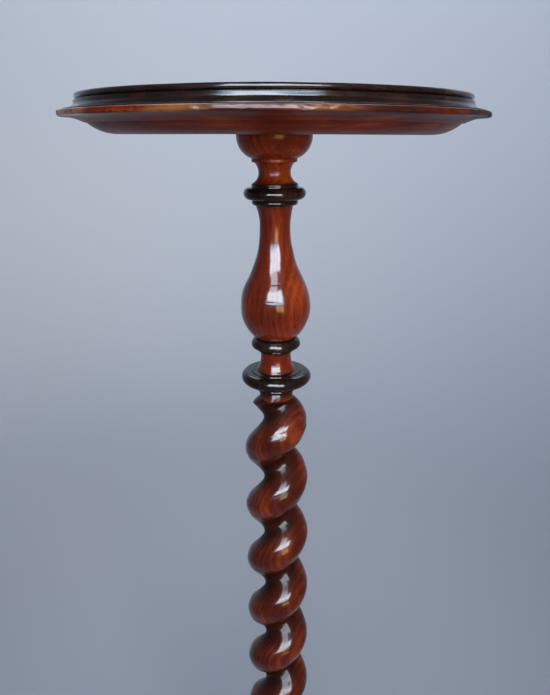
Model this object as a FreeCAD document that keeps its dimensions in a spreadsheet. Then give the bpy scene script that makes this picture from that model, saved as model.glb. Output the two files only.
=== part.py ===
import FreeCAD, Part
import math
import os
import types

import Sketcher

# A candle stand: a round moulded top on a turned and barley-twisted column with three curved legs.
# The column's axis is Z, the floor is Z = 0, and the front of the stand looks along -Y.

# Driving dimensions in millimetres and degrees, from the top of the stand down
DIMENSIONS = {
    # round top board, heights above its underside
    "dish_radius": 122.0,
    "board_thickness": 18.0,
    "flange_margin_width": 4.0,
    "flange_low_height": 11.4,
    "flange_top_height": 15.2,
    "cove_width": 17.4,
    "ovolo_ledge_width": 1.6,
    "ovolo_width": 20.0,
    "ovolo_height": 7.6,
    # ebonised rim moulding around the dish, widths out from the dish and heights above the flange
    "rim_height": 10.6,
    "rim_inner_round_radius": 4.0,
    "rim_foot_width": 24.0,
    "rim_foot_height": 0.8,
    "rim_band_width": 16.3,
    "rim_band_low_height": 3.8,
    "rim_band_top_height": 6.2,
    "rim_groove_height": 0.6,
    "rim_bead_width": 15.6,
    # bowl-shaped cap of the column and its neck
    "cap_height": 35.8,
    "cap_radius": 28.1,
    "cap_lip_height": 2.2,
    "bowl_height": 15.7,
    "bowl_foot_radius": 17.0,
    "cap_fillet_height": 2.6,
    "cap_fillet_step_width": 1.8,
    "cap_throat_radius": 11.95,
    "cap_throat_height": 7.8,
    "cap_foot_radius": 17.4,
    "cap_tenon_radius": 12.0,
    "cap_tenon_length": 11.0,
    # upper collar
    "upper_collar_fillet_radius": 17.6,
    "upper_collar_fillet_height": 2.6,
    "upper_collar_radius": 23.6,
    "upper_collar_torus_height": 8.9,
    "upper_collar_bead_radius": 17.6,
    "upper_collar_bead_height": 4.1,
    # vase
    "vase_height": 104.0,
    "vase_top_radius": 14.5,
    "vase_throat_radius": 11.66,
    "vase_throat_depth": 15.3,
    "vase_belly_radius": 27.7,
    "vase_belly_height": 24.9,
    "vase_turning_share": 0.33,
    "vase_foot_radius": 16.0,
    # middle collar
    "middle_collar_top_radius": 15.3,
    "middle_collar_radius": 19.7,
    "middle_collar_nose_depth": 5.8,
    "middle_collar_under_radius": 16.4,
    "middle_collar_torus_height": 8.8,
    "middle_collar_bead_radius": 14.9,
    "middle_collar_bead_height": 2.8,
    # neck spool
    "spool_height": 16.3,
    "spool_top_radius": 12.8,
    "spool_throat_radius": 12.3,
    "spool_throat_depth": 4.6,
    "spool_foot_radius": 15.9,
    # shoulder collar
    "shoulder_fillet_radius": 20.4,
    "shoulder_fillet_height": 0.9,
    "shoulder_top_radius": 22.8,
    "shoulder_radius": 28.4,
    "shoulder_nose_depth": 4.9,
    "shoulder_under_radius": 22.4,
    "shoulder_torus_height": 10.2,
    "shoulder_cone_height": 3.1,
    "shoulder_bead_radius": 16.0,
    "shoulder_bead_height": 3.9,
    # barley twist, its section given where it is thinnest, at its top
    "twist_length": 393.0,
    "twist_pitch": 56.1,
    "twist_start_angle": 118.5,
    "twist_top_radius": 26.4,
    "twist_low_radius": 28.9,
    "bine_half_width": 19.32,
    "bine_widest_distance": 15.12,
    "hollow_radius": 10.87,
    "hollow_half_width": 4.13,
    "twist_shoulder_length": 24.0,
    "twist_neck_radius": 13.6,
    "twist_neck_length": 6.6,
    "hollow_run_out_length": 11.0,
    # turnings below the twist
    "foot_collar_radius": 31.0,
    "foot_collar_edge_radius": 24.6,
    "foot_collar_torus_height": 11.0,
    "foot_collar_bead_radius": 18.0,
    "foot_collar_bead_height": 4.0,
    "foot_spool_height": 15.0,
    "foot_spool_end_radius": 17.0,
    "foot_spool_throat_radius": 13.6,
    "foot_ring_radius": 23.0,
    "foot_ring_height": 11.0,
    # hub that carries the legs
    "hub_base_height": 96.0,
    "hub_over_legs_height": 7.0,
    "hub_radius": 32.0,
    "hub_neck_radius": 20.0,
    "hub_cove_height": 10.0,
    "hub_fillet_height": 3.0,
    "hub_fillet_width": 3.0,
    "hub_flat_depth": 3.8,
    # legs, heights above the floor
    "leg_thickness": 26.0,
    "leg_shoulder_height": 62.0,
    "leg_heel_radius": 146.0,
    "leg_heel_height": 8.0,
    "leg_heel_width": 4.0,
    "leg_sole_length": 22.0,
    "leg_toe_radius": 12.0,
    "leg_turning_share": 0.5,
    "leg_edge_radius": 5.0,
    "dovetail_neck_width": 10.0,
    "dovetail_end_width": 14.0,
    "dovetail_depth": 11.0,
    # turned drop under the hub
    "drop_height": 37.0,
    "drop_disc_radius": 27.0,
    "drop_disc_height": 4.0,
    "drop_throat_radius": 10.0,
    "drop_throat_height": 9.0,
    "drop_throat_flare_width": 2.25,
    "drop_belly_radius": 16.5,
    "drop_belly_height": 13.0,
    "drop_tip_radius": 4.0,
    # spigots and sockets
    "spigot_radius": 8.0,
    "socket_depth": 22.0,
    "socket_end_gap": 0.6,
    "glue_gap": 0.15,
}

SHEET = "dims"
FULL_TURN = 360.0
SLIVER = 1e-3
LEGS = {"leg_back": 90.0, "leg_left": 210.0, "leg_right": 330.0}
RIM = {"rim_front": 225.0, "rim_right": 315.0, "rim_back": 45.0, "rim_left": 135.0}

# How an outline runs from one corner to the next
STRAIGHT = "straight"
LEVEL_HERE = "arc with its centre level with this corner"
LEVEL_NEXT = "arc with its centre level with the next corner"
PLUMB_HERE = "arc with its centre plumb with this corner"
PLUMB_NEXT = "arc with its centre plumb with the next corner"


class Size:
    """A length or angle: the expression that drives it, with its present value."""

    def __init__(self, text, value):
        self.text = text
        self.value = value

    def join(self, sign, other, value):
        return Size("(%s %s %s)" % (self.text, sign, other.text), value)

    def __add__(self, other):
        other = as_size(other)
        return self.join("+", other, self.value + other.value)

    def __sub__(self, other):
        other = as_size(other)
        return self.join("-", other, self.value - other.value)

    def __mul__(self, other):
        other = as_size(other)
        return self.join("*", other, self.value * other.value)

    def __truediv__(self, other):
        other = as_size(other)
        return self.join("/", other, self.value / other.value)

    def __neg__(self):
        return as_size(0.0) - self


def as_size(value):
    """A plain number as a size, or the size itself."""
    if isinstance(value, Size):
        return value
    return Size(repr(float(value)), float(value))


ZERO = as_size(0.0)


def write_sheet(doc):
    """Puts the driving dimensions into a spreadsheet and gives them back as sizes."""
    sheet = doc.addObject("Spreadsheet::Sheet", SHEET)
    sizes = {}
    for row, (name, value) in enumerate(DIMENSIONS.items(), start=1):
        sheet.set("A%d" % row, name)
        sheet.set("B%d" % row, str(value))
        sheet.setAlias("B%d" % row, name)
        sizes[name] = Size("%s.%s" % (SHEET, name), value)
    doc.recompute()
    return types.SimpleNamespace(**sizes)


def new_body(doc, name, height, turn=ZERO):
    """An empty body that stands at a height, turned about the column's axis."""
    turn = as_size(turn)
    body = doc.addObject("PartDesign::Body", name)
    body.Label = name
    upright = FreeCAD.Rotation(FreeCAD.Vector(0, 0, 1), turn.value)
    body.Placement = FreeCAD.Placement(FreeCAD.Vector(0, 0, height.value), upright)
    body.setExpression("Placement.Base.z", height.text)
    body.setExpression("Placement.Rotation.Angle", turn.text)
    return body


def origin_part(body, role):
    """One of a body's own origin planes or axes."""
    return next(part for part in body.Origin.OriginFeatures if part.Role == role)


def new_sketch(body, name, plane, height=None, turn=None):
    """A sketch on an origin plane, which may be raised along Z and turned about it."""
    sketch = body.newObject("Sketcher::SketchObject", name)
    sketch.AttachmentSupport = [(origin_part(body, plane), "")]
    sketch.MapMode = "FlatFace"
    if height is not None:
        sketch.setExpression("AttachmentOffset.Base.z", height.text)
    if turn is not None:
        sketch.setExpression("AttachmentOffset.Rotation.Angle", turn.text)
    return sketch


def arc_between(here, there, bend):
    """The arc from one corner to the next, and whether it runs from here to there.

    The arc's end that its centre is level or plumb with sets the tangent there.
    """
    pinned, loose = (here, there) if bend in (LEVEL_HERE, PLUMB_HERE) else (there, here)
    across = pinned[0].value - loose[0].value
    along = pinned[1].value - loose[1].value
    square = across ** 2 + along ** 2
    if bend in (LEVEL_HERE, LEVEL_NEXT):
        centre = FreeCAD.Vector(pinned[0].value - square / (2 * across), pinned[1].value, 0)
    else:
        centre = FreeCAD.Vector(pinned[0].value, pinned[1].value - square / (2 * along), 0)
    first = FreeCAD.Vector(here[0].value, here[1].value, 0) - centre
    last = FreeCAD.Vector(there[0].value, there[1].value, 0) - centre
    first_angle = math.atan2(first.y, first.x)
    last_angle = math.atan2(last.y, last.x)
    sweep = (last_angle - first_angle + math.pi) % (2 * math.pi) - math.pi
    circle = Part.Circle(centre, FreeCAD.Vector(0, 0, 1), first.Length)
    if sweep > 0:
        return Part.ArcOfCircle(circle, first_angle, last_angle), True
    return Part.ArcOfCircle(circle, last_angle, first_angle), False


def draw(sketch, outline):
    """Draws a closed outline and ties every corner of it to its sizes.

    Each corner is (x, y) or (x, y, bend), where bend says how the outline runs to the next corner.
    """
    corners = [(as_size(c[0]), as_size(c[1]), c[2] if len(c) > 2 else STRAIGHT) for c in outline]
    lines = []
    ends = []
    for place, here in enumerate(corners):
        there = corners[(place + 1) % len(corners)]
        if here[2] == STRAIGHT:
            start = FreeCAD.Vector(here[0].value, here[1].value, 0)
            finish = FreeCAD.Vector(there[0].value, there[1].value, 0)
            lines.append(Part.LineSegment(start, finish))
            ends.append((1, 2))
        else:
            line, forward = arc_between(here, there, here[2])
            lines.append(line)
            ends.append((1, 2) if forward else (2, 1))
    sketch.addGeometry(lines, False)
    ties = []
    drivers = []
    for place, corner in enumerate(corners):
        after = (place + 1) % len(corners)
        first, last = ends[place]
        ties.append(Sketcher.Constraint("Coincident", place, last, after, ends[after][0]))
        for kind, zero_axis, size in (("DistanceX", -2, corner[0]), ("DistanceY", -1, corner[1])):
            if size is ZERO:
                ties.append(Sketcher.Constraint("PointOnObject", place, first, zero_axis))
            else:
                drivers.append((len(ties), size))
                ties.append(Sketcher.Constraint(kind, -1, 1, place, first, size.value))
        if corner[2] in (LEVEL_HERE, PLUMB_HERE):
            kind = "Horizontal" if corner[2] == LEVEL_HERE else "Vertical"
            ties.append(Sketcher.Constraint(kind, place, 3, place, first))
        if corner[2] in (LEVEL_NEXT, PLUMB_NEXT):
            kind = "Horizontal" if corner[2] == LEVEL_NEXT else "Vertical"
            ties.append(Sketcher.Constraint(kind, place, 3, place, last))
    sketch.addConstraint(ties)
    for place, size in drivers:
        sketch.setExpression("Constraints[%d]" % place, size.text)


def revolve(body, sketch, kind="PartDesign::Revolution", angle=FULL_TURN):
    """Turns a sketched profile about the column's axis, to add or to cut."""
    feature = body.newObject(kind, sketch.Name + "_turned")
    feature.Profile = sketch
    feature.ReferenceAxis = (sketch, ["V_Axis"])
    feature.Angle = angle
    return feature


def turned_piece(doc, name, height, outline):
    """A piece turned on the lathe from one profile of radius and height."""
    body = new_body(doc, name, height)
    sketch = new_sketch(body, name + "_profile", "XZ_Plane")
    draw(sketch, outline)
    revolve(body, sketch)
    return body


def half_round(radius, low, height, bend_after=STRAIGHT):
    """Corners of a half-round bead: its lower edge, its nose and its upper edge."""
    reach = height / 2
    return [
        (radius - reach, low, LEVEL_NEXT),
        (radius, low + reach, LEVEL_HERE),
        (radius - reach, low + height, bend_after),
    ]


def top_board(doc, d, height):
    """Round board: moulded edge below, thin flange outside, rebate for the rim above."""
    socket_radius = d.cap_tenon_radius + d.glue_gap
    socket_top = d.cap_tenon_length + d.socket_end_gap
    flange_radius = d.dish_radius + d.rim_foot_width + d.flange_margin_width
    cove_start = flange_radius - d.cove_width
    ovolo_radius = cove_start - d.ovolo_ledge_width
    outline = [
        (ZERO, socket_top),
        (socket_radius, socket_top),
        (socket_radius, ZERO),
        (ovolo_radius - d.ovolo_width, ZERO, PLUMB_HERE),
        (ovolo_radius, d.ovolo_height),
        (cove_start, d.ovolo_height, PLUMB_NEXT),
    ]
    outline += half_round(flange_radius, d.flange_low_height, d.flange_top_height - d.flange_low_height)
    outline += [
        (d.dish_radius, d.flange_top_height),
        (d.dish_radius, d.board_thickness),
        (ZERO, d.board_thickness),
    ]
    return turned_piece(doc, "top_board", height, outline)


def rim_segment(doc, d, name, turn, height):
    """A quarter of the rim: cove, band, groove and bead outside, a quarter-round inside."""
    body = new_body(doc, name, height, turn)
    sketch = new_sketch(body, name + "_profile", "XZ_Plane")
    foot_radius = d.dish_radius + d.rim_foot_width
    band_radius = d.dish_radius + d.rim_band_width
    bead_radius = d.dish_radius + d.rim_bead_width
    bead_low = d.rim_band_top_height + d.rim_groove_height
    bead_height = d.rim_height - bead_low
    outline = [
        (d.dish_radius, ZERO),
        (foot_radius, ZERO),
        (foot_radius, d.rim_foot_height, PLUMB_HERE),
        (band_radius, d.rim_band_low_height),
        (band_radius, d.rim_band_top_height),
        (bead_radius - bead_height / 2, d.rim_band_top_height),
    ]
    outline += half_round(bead_radius, bead_low, bead_height)
    outline += [
        (d.dish_radius + d.rim_inner_round_radius, d.rim_height, PLUMB_HERE),
        (d.dish_radius, d.rim_height - d.rim_inner_round_radius),
    ]
    draw(sketch, outline)
    revolve(body, sketch, angle=FULL_TURN / len(RIM))
    return body


def column_cap(doc, d, height):
    """Bowl under the top with a tenon above it, a waisted neck and a spigot below."""
    fillet_top = d.cap_height - d.cap_lip_height - d.bowl_height
    fillet_low = fillet_top - d.cap_fillet_height
    neck_top_radius = d.bowl_foot_radius - d.cap_fillet_step_width
    spigot = upper_collar_height(d) + d.socket_depth - d.socket_end_gap
    outline = [
        (ZERO, -spigot),
        (d.spigot_radius, -spigot),
        (d.spigot_radius, ZERO),
        (d.cap_foot_radius, ZERO, LEVEL_NEXT),
        (d.cap_throat_radius, d.cap_throat_height, LEVEL_HERE),
        (neck_top_radius, fillet_low),
        (d.bowl_foot_radius, fillet_low),
        (d.bowl_foot_radius, fillet_top, LEVEL_NEXT),
        (d.cap_radius, d.cap_height - d.cap_lip_height),
        (d.cap_radius, d.cap_height),
        (d.cap_tenon_radius, d.cap_height),
        (d.cap_tenon_radius, d.cap_height + d.cap_tenon_length),
        (ZERO, d.cap_height + d.cap_tenon_length),
    ]
    return turned_piece(doc, "column_cap", height, outline)


def upper_collar_height(d):
    return d.upper_collar_fillet_height + d.upper_collar_torus_height + d.upper_collar_bead_height


def upper_collar(doc, d, height):
    """Ebonised collar between cap and vase: fillet, torus and a lower bead."""
    bore = d.spigot_radius + d.glue_gap
    fillet_low = d.upper_collar_bead_height + d.upper_collar_torus_height
    outline = [(bore, ZERO)]
    outline += half_round(d.upper_collar_bead_radius, ZERO, d.upper_collar_bead_height)
    outline += half_round(d.upper_collar_radius, d.upper_collar_bead_height, d.upper_collar_torus_height)
    outline += [
        (d.upper_collar_fillet_radius, fillet_low),
        (d.upper_collar_fillet_radius, upper_collar_height(d)),
        (bore, upper_collar_height(d)),
    ]
    return turned_piece(doc, "upper_collar", height, outline)


def vase(doc, d, height):
    """Baluster: a belly drawn up into a slim throat by two tangent arcs, socketed at both ends."""
    socket_radius = d.spigot_radius + d.glue_gap
    share = d.vase_turning_share
    throat_height = d.vase_height - d.vase_throat_depth
    turning_radius = d.vase_belly_radius + (d.vase_throat_radius - d.vase_belly_radius) * share
    turning_height = d.vase_belly_height + (throat_height - d.vase_belly_height) * share
    top_socket_floor = d.vase_height - d.socket_depth
    outline = [
        (ZERO, d.socket_depth),
        (socket_radius, d.socket_depth),
        (socket_radius, ZERO),
        (d.vase_foot_radius, ZERO, LEVEL_NEXT),
        (d.vase_belly_radius, d.vase_belly_height, LEVEL_HERE),
        (turning_radius, turning_height, LEVEL_NEXT),
        (d.vase_throat_radius, throat_height, LEVEL_HERE),
        (d.vase_top_radius, d.vase_height),
        (socket_radius, d.vase_height),
        (socket_radius, top_socket_floor),
        (ZERO, top_socket_floor),
    ]
    return turned_piece(doc, "vase", height, outline)


def middle_collar_height(d):
    return d.middle_collar_torus_height + d.middle_collar_bead_height


def middle_collar(doc, d, height):
    """Ebonised collar under the vase: a torus over a small bead."""
    bore = d.spigot_radius + d.glue_gap
    top = middle_collar_height(d)
    outline = [(bore, ZERO)]
    outline += half_round(d.middle_collar_bead_radius, ZERO, d.middle_collar_bead_height)
    outline += [
        (d.middle_collar_under_radius, d.middle_collar_bead_height, LEVEL_NEXT),
        (d.middle_collar_radius, top - d.middle_collar_nose_depth, LEVEL_HERE),
        (d.middle_collar_top_radius, top),
        (bore, top),
    ]
    return turned_piece(doc, "middle_collar", height, outline)


def neck_spool(doc, d, height):
    """Short waisted length of the column between two collars, bored for the shaft's spigot."""
    bore = d.spigot_radius + d.glue_gap
    outline = [
        (bore, ZERO),
        (d.spool_foot_radius, ZERO, LEVEL_NEXT),
        (d.spool_throat_radius, d.spool_height - d.spool_throat_depth, LEVEL_HERE),
        (d.spool_top_radius, d.spool_height),
        (bore, d.spool_height),
    ]
    return turned_piece(doc, "neck_spool", height, outline)


def shoulder_collar_height(d):
    return d.shoulder_fillet_height + d.shoulder_torus_height + d.shoulder_cone_height + d.shoulder_bead_height


def shoulder_collar(doc, d, height):
    """Broad ebonised collar over the twist: raised fillet, torus, cone and a bead."""
    bore = d.spigot_radius + d.glue_gap
    top = shoulder_collar_height(d)
    torus_top = top - d.shoulder_fillet_height
    outline = [(bore, ZERO)]
    outline += half_round(d.shoulder_bead_radius, ZERO, d.shoulder_bead_height)
    outline += [
        (d.shoulder_bead_radius, d.shoulder_bead_height),
        (d.shoulder_under_radius, d.shoulder_bead_height + d.shoulder_cone_height, LEVEL_NEXT),
        (d.shoulder_radius, torus_top - d.shoulder_nose_depth, LEVEL_HERE),
        (d.shoulder_top_radius, torus_top),
        (d.shoulder_fillet_radius, torus_top),
        (d.shoulder_fillet_radius, top),
        (bore, top),
    ]
    return turned_piece(doc, "shoulder_collar", height, outline)


def bine_section(body, d, name, height, scale, turn=None):
    """Section of the twist: one round bine whose far side is the flat floor of the hollow."""
    sketch = new_sketch(body, name, "XY_Plane", height, turn)
    crest = d.twist_top_radius * scale
    width = d.bine_half_width * scale
    place = d.bine_widest_distance * scale
    floor = -(d.hollow_radius * scale)
    flat = d.hollow_half_width * scale
    draw(sketch, [
        (crest, ZERO, LEVEL_HERE),
        (place, width, LEVEL_NEXT),
        (floor, flat),
        (floor, -flat, LEVEL_HERE),
        (place, -width, LEVEL_NEXT),
    ])
    return sketch


def shaft_end(body, d, name, seat, bar_end, radius, spigot, up):
    """Turns one end of the twisted shaft: rounds its shoulder, then adds neck and spigot.

    seat is the height of the end's flat shoulder, bar_end that of the twisted bar's end, and up is 1 at the top of
    the shaft and -1 at its foot.
    """
    full = bar_end - d.twist_shoulder_length * up
    blank = d.twist_low_radius * 2
    waste = new_sketch(body, name + "_waste", "XZ_Plane")
    draw(waste, [
        (d.twist_neck_radius, bar_end),
        (blank, bar_end),
        (blank, full),
        (radius, full, LEVEL_HERE),
    ])
    revolve(body, waste, "PartDesign::Groove")
    run_out = bar_end - d.hollow_run_out_length * up
    neck = new_sketch(body, name + "_neck", "XZ_Plane")
    draw(neck, [
        (ZERO, seat + spigot * up),
        (d.spigot_radius, seat + spigot * up),
        (d.spigot_radius, seat),
        (d.twist_neck_radius, seat),
        (d.twist_neck_radius, bar_end),
        (d.spigot_radius, run_out),
        (ZERO, run_out),
    ])
    revolve(body, neck)


def shaft_length(d):
    return d.twist_length + d.twist_neck_length * 2


def twist_shaft(doc, d, height):
    """Single right-handed barley twist that swells towards its foot, with turned ends."""
    body = new_body(doc, "twist_shaft", height, d.twist_start_angle)
    low = d.twist_neck_length
    high = d.twist_neck_length + d.twist_length
    swell = d.twist_low_radius / d.twist_top_radius
    wind = d.twist_length / d.twist_pitch * FULL_TURN
    low_section = bine_section(body, d, "bine_low", low, swell)
    high_section = bine_section(body, d, "bine_high", high, as_size(1.0), wind)
    spine = new_sketch(body, "twist_axis", "XZ_Plane")
    spine.addGeometry(Part.LineSegment(FreeCAD.Vector(0, low.value, 0), FreeCAD.Vector(0, high.value, 0)))
    spine.addConstraint([
        Sketcher.Constraint("PointOnObject", 0, 1, -2),
        Sketcher.Constraint("PointOnObject", 0, 2, -2),
        Sketcher.Constraint("DistanceY", -1, 1, 0, 1, low.value),
        Sketcher.Constraint("DistanceY", -1, 1, 0, 2, high.value),
    ])
    spine.setExpression("Constraints[2]", low.text)
    spine.setExpression("Constraints[3]", high.text)
    helix = doc.addObject("Part::Helix", "twist_helix")
    helix.setExpression("Pitch", d.twist_pitch.text)
    helix.setExpression("Height", d.twist_length.text)
    helix.setExpression("Radius", (d.twist_low_radius * 2).text)
    helix.setExpression("Placement.Base.z", (height + low).text)
    doc.recompute()
    bar = body.newObject("PartDesign::AdditivePipe", "twisted_bar")
    bar.Profile = low_section
    bar.Spine = (spine, [])
    bar.Mode = "Auxiliary"
    bar.AuxiliarySpine = (helix, [])
    bar.AuxiliaryCurvilinear = True
    bar.Transformation = "Multisection"
    bar.Sections = [(high_section, [""])]
    doc.recompute()
    rise = (d.twist_low_radius - d.twist_top_radius) / d.twist_length * d.twist_shoulder_length
    grip = d.socket_depth - d.socket_end_gap
    top_spigot = shoulder_collar_height(d) + d.spool_height + middle_collar_height(d) + grip
    foot_spigot = foot_collar_height(d) + d.foot_spool_height + d.foot_ring_height + grip
    shaft_end(body, d, "shaft_top", shaft_length(d), high, d.twist_top_radius + rise, top_spigot, 1)
    shaft_end(body, d, "shaft_foot", ZERO, low, d.twist_low_radius - rise, foot_spigot, -1)
    return body


def foot_collar_height(d):
    return d.foot_collar_torus_height + d.foot_collar_bead_height


def foot_collar(doc, d, height):
    """Ebonised collar under the twist: a bead over a torus."""
    bore = d.spigot_radius + d.glue_gap
    torus = d.foot_collar_torus_height
    outline = [
        (bore, ZERO),
        (d.foot_collar_edge_radius, ZERO, LEVEL_NEXT),
        (d.foot_collar_radius, torus / 2, LEVEL_HERE),
        (d.foot_collar_edge_radius, torus),
    ]
    outline += half_round(d.foot_collar_bead_radius, torus, d.foot_collar_bead_height)
    outline += [(bore, foot_collar_height(d))]
    return turned_piece(doc, "foot_collar", height, outline)


def foot_spool(doc, d, height):
    """Waisted spool between the foot collar and the ring on the hub."""
    bore = d.spigot_radius + d.glue_gap
    outline = [
        (bore, ZERO),
        (d.foot_spool_end_radius, ZERO, LEVEL_NEXT),
        (d.foot_spool_throat_radius, d.foot_spool_height / 2, LEVEL_HERE),
        (d.foot_spool_end_radius, d.foot_spool_height),
        (bore, d.foot_spool_height),
    ]
    return turned_piece(doc, "foot_spool", height, outline)


def foot_ring(doc, d, height):
    """Ebonised half-round ring that sits on the hub."""
    bore = d.spigot_radius + d.glue_gap
    outline = [(bore, ZERO)]
    outline += half_round(d.foot_ring_radius, ZERO, d.foot_ring_height)
    outline += [(bore, d.foot_ring_height)]
    return turned_piece(doc, "foot_ring", height, outline)


def dovetail(body, d, name, height, flat, gap):
    """Corners of a leg's dovetail, widened by a gap where it is the socket."""
    neck = d.dovetail_neck_width / 2 + gap
    end = d.dovetail_end_width / 2 + gap
    depth = d.dovetail_depth + gap
    sketch = new_sketch(body, name, "XY_Plane", height)
    return sketch, [
        (flat, neck),
        (flat - depth, end),
        (flat - depth, -end),
        (flat, -neck),
    ]


def hub_height(d):
    return d.leg_shoulder_height + d.hub_over_legs_height + d.hub_fillet_height + d.hub_cove_height


def leg_seat_radius(d):
    return d.hub_radius - d.hub_flat_depth


def leg_hub(doc, d, height):
    """Turned drum with a coved neck, cut from below with three dovetail sockets for the legs."""
    turn = next(iter(LEGS.values()))
    socket_radius = d.spigot_radius + d.glue_gap
    top = hub_height(d)
    cove_low = top - d.hub_cove_height
    fillet_low = cove_low - d.hub_fillet_height
    fillet_radius = d.hub_radius - d.hub_fillet_width
    body = new_body(doc, "leg_hub", height, turn)
    profile = new_sketch(body, "hub_profile", "XZ_Plane")
    draw(profile, [
        (ZERO, d.socket_depth),
        (socket_radius, d.socket_depth),
        (socket_radius, ZERO),
        (d.hub_radius, ZERO),
        (d.hub_radius, fillet_low),
        (fillet_radius, fillet_low),
        (fillet_radius, cove_low, PLUMB_HERE),
        (d.hub_neck_radius, top),
        (socket_radius, top),
        (socket_radius, top - d.socket_depth),
        (ZERO, top - d.socket_depth),
    ])
    revolve(body, profile)
    doc.recompute()
    side = d.leg_thickness / 2 + d.glue_gap
    outside = d.hub_radius * 2
    flat = leg_seat_radius(d)
    sketch, tail = dovetail(body, d, "leg_socket_outline", ZERO, flat, d.glue_gap)
    draw(sketch, [(outside, side), (flat, side)] + tail + [(flat, -side), (outside, -side)])
    pocket = body.newObject("PartDesign::Pocket", "leg_socket")
    pocket.Profile = sketch
    pocket.Reversed = True
    pocket.setExpression("Length", d.leg_shoulder_height.text)
    doc.recompute()
    pattern = body.newObject("PartDesign::PolarPattern", "leg_sockets")
    pattern.Originals = [pocket]
    pattern.Axis = (origin_part(body, "Z_Axis"), [""])
    pattern.Angle = FULL_TURN
    pattern.Occurrences = len(LEGS)
    body.Tip = pattern
    return body


def curved_edges(board, d):
    """Names of the edges that follow a leg's curves above its heel, on both of its sides."""
    names = []
    for number, edge in enumerate(board.Shape.Edges, start=1):
        box = edge.BoundBox
        along_side = box.YLength < SLIVER
        sloping = box.XLength > SLIVER and box.ZLength > SLIVER
        if along_side and sloping and edge.CenterOfMass.z > d.leg_heel_height.value:
            names.append("Edge%d" % number)
    return names


def leg(doc, d, name, turn):
    """Curved leg: an S of two tangent arcs above and below, a round toe and a dovetail."""
    body = new_body(doc, name, ZERO, turn)
    flat = leg_seat_radius(d)
    low = d.hub_base_height
    high = low + d.leg_shoulder_height
    sole_start = d.leg_heel_radius + d.leg_heel_width
    sole_end = sole_start + d.leg_sole_length
    toe_top = d.leg_toe_radius * 2
    share = d.leg_turning_share
    under_x = flat + (d.leg_heel_radius - flat) * share
    under_z = low + (d.leg_heel_height - low) * share
    over_x = sole_end + (flat - sole_end) * share
    over_z = toe_top + (high - toe_top) * share
    profile = new_sketch(body, name + "_profile", "XZ_Plane")
    draw(profile, [
        (flat, low, PLUMB_HERE),
        (under_x, under_z, PLUMB_NEXT),
        (d.leg_heel_radius, d.leg_heel_height),
        (sole_start, ZERO),
        (sole_end, ZERO, LEVEL_NEXT),
        (sole_end + d.leg_toe_radius, d.leg_toe_radius, LEVEL_HERE),
        (sole_end, toe_top, PLUMB_HERE),
        (over_x, over_z, PLUMB_NEXT),
        (flat, high),
    ])
    board = body.newObject("PartDesign::Pad", name + "_board")
    board.Profile = profile
    board.SideType = "Symmetric"
    board.setExpression("Length", d.leg_thickness.text)
    doc.recompute()
    soft = body.newObject("PartDesign::Fillet", name + "_rounded")
    soft.Base = (board, curved_edges(board, d))
    soft.setExpression("Radius", d.leg_edge_radius.text)
    doc.recompute()
    sketch, tail = dovetail(body, d, name + "_tail_outline", low, flat, ZERO)
    draw(sketch, tail)
    tongue = body.newObject("PartDesign::Pad", name + "_tail")
    tongue.Profile = sketch
    tongue.setExpression("Length", d.leg_shoulder_height.text)
    return body


def drop_finial(doc, d, height):
    """Turned drop under the hub that covers the ends of the dovetails."""
    spigot = d.socket_depth - d.socket_end_gap
    disc_low = d.drop_height - d.drop_disc_height
    throat = disc_low - d.drop_throat_height / 2
    belly_top = disc_low - d.drop_throat_height
    flare_radius = d.drop_throat_radius + d.drop_throat_flare_width
    outline = [
        (ZERO, ZERO),
        (d.drop_tip_radius, ZERO, LEVEL_NEXT),
        (d.drop_belly_radius, d.drop_belly_height, LEVEL_HERE),
        (flare_radius, belly_top, LEVEL_NEXT),
        (d.drop_throat_radius, throat, LEVEL_HERE),
        (flare_radius, disc_low),
    ]
    outline += half_round(d.drop_disc_radius, disc_low, d.drop_disc_height)
    outline += [
        (d.spigot_radius, d.drop_height),
        (d.spigot_radius, d.drop_height + spigot),
        (ZERO, d.drop_height + spigot),
    ]
    return turned_piece(doc, "drop_finial", height, outline)


def build(doc):
    """Builds every piece from the floor up, each on the seat of the one below."""
    d = write_sheet(doc)
    pieces = [leg(doc, d, name, turn) for name, turn in LEGS.items()]
    pieces.append(drop_finial(doc, d, d.hub_base_height - d.drop_height))
    stack = [
        (leg_hub, hub_height(d)),
        (foot_ring, d.foot_ring_height),
        (foot_spool, d.foot_spool_height),
        (foot_collar, foot_collar_height(d)),
        (twist_shaft, shaft_length(d)),
        (shoulder_collar, shoulder_collar_height(d)),
        (neck_spool, d.spool_height),
        (middle_collar, middle_collar_height(d)),
        (vase, d.vase_height),
        (upper_collar, upper_collar_height(d)),
        (column_cap, d.cap_height),
        (top_board, d.flange_top_height),
    ]
    seat = d.hub_base_height
    for make, rise in stack:
        pieces.append(make(doc, d, seat))
        seat = seat + rise
    for name, turn in RIM.items():
        pieces.append(rim_segment(doc, d, name, turn, seat))
    doc.recompute()
    return pieces


def check(doc, pieces):
    """Stops if any object failed, a piece isn't one valid solid, or a cut removed nothing."""
    for item in doc.Objects:
        if {"Invalid", "Error"} & set(item.State):
            raise RuntimeError("%s is %s" % (item.Name, item.State))
    for item in doc.Objects:
        if item.TypeId in ("PartDesign::Groove", "PartDesign::Pocket", "PartDesign::PolarPattern"):
            if item.Shape.Volume >= item.BaseFeature.Shape.Volume:
                raise RuntimeError("%s removes nothing" % item.Name)
    for piece in pieces:
        shape = piece.Shape
        if shape.isNull() or not shape.isValid() or len(shape.Solids) != 1:
            raise RuntimeError("%s is not one valid solid" % piece.Label)


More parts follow.
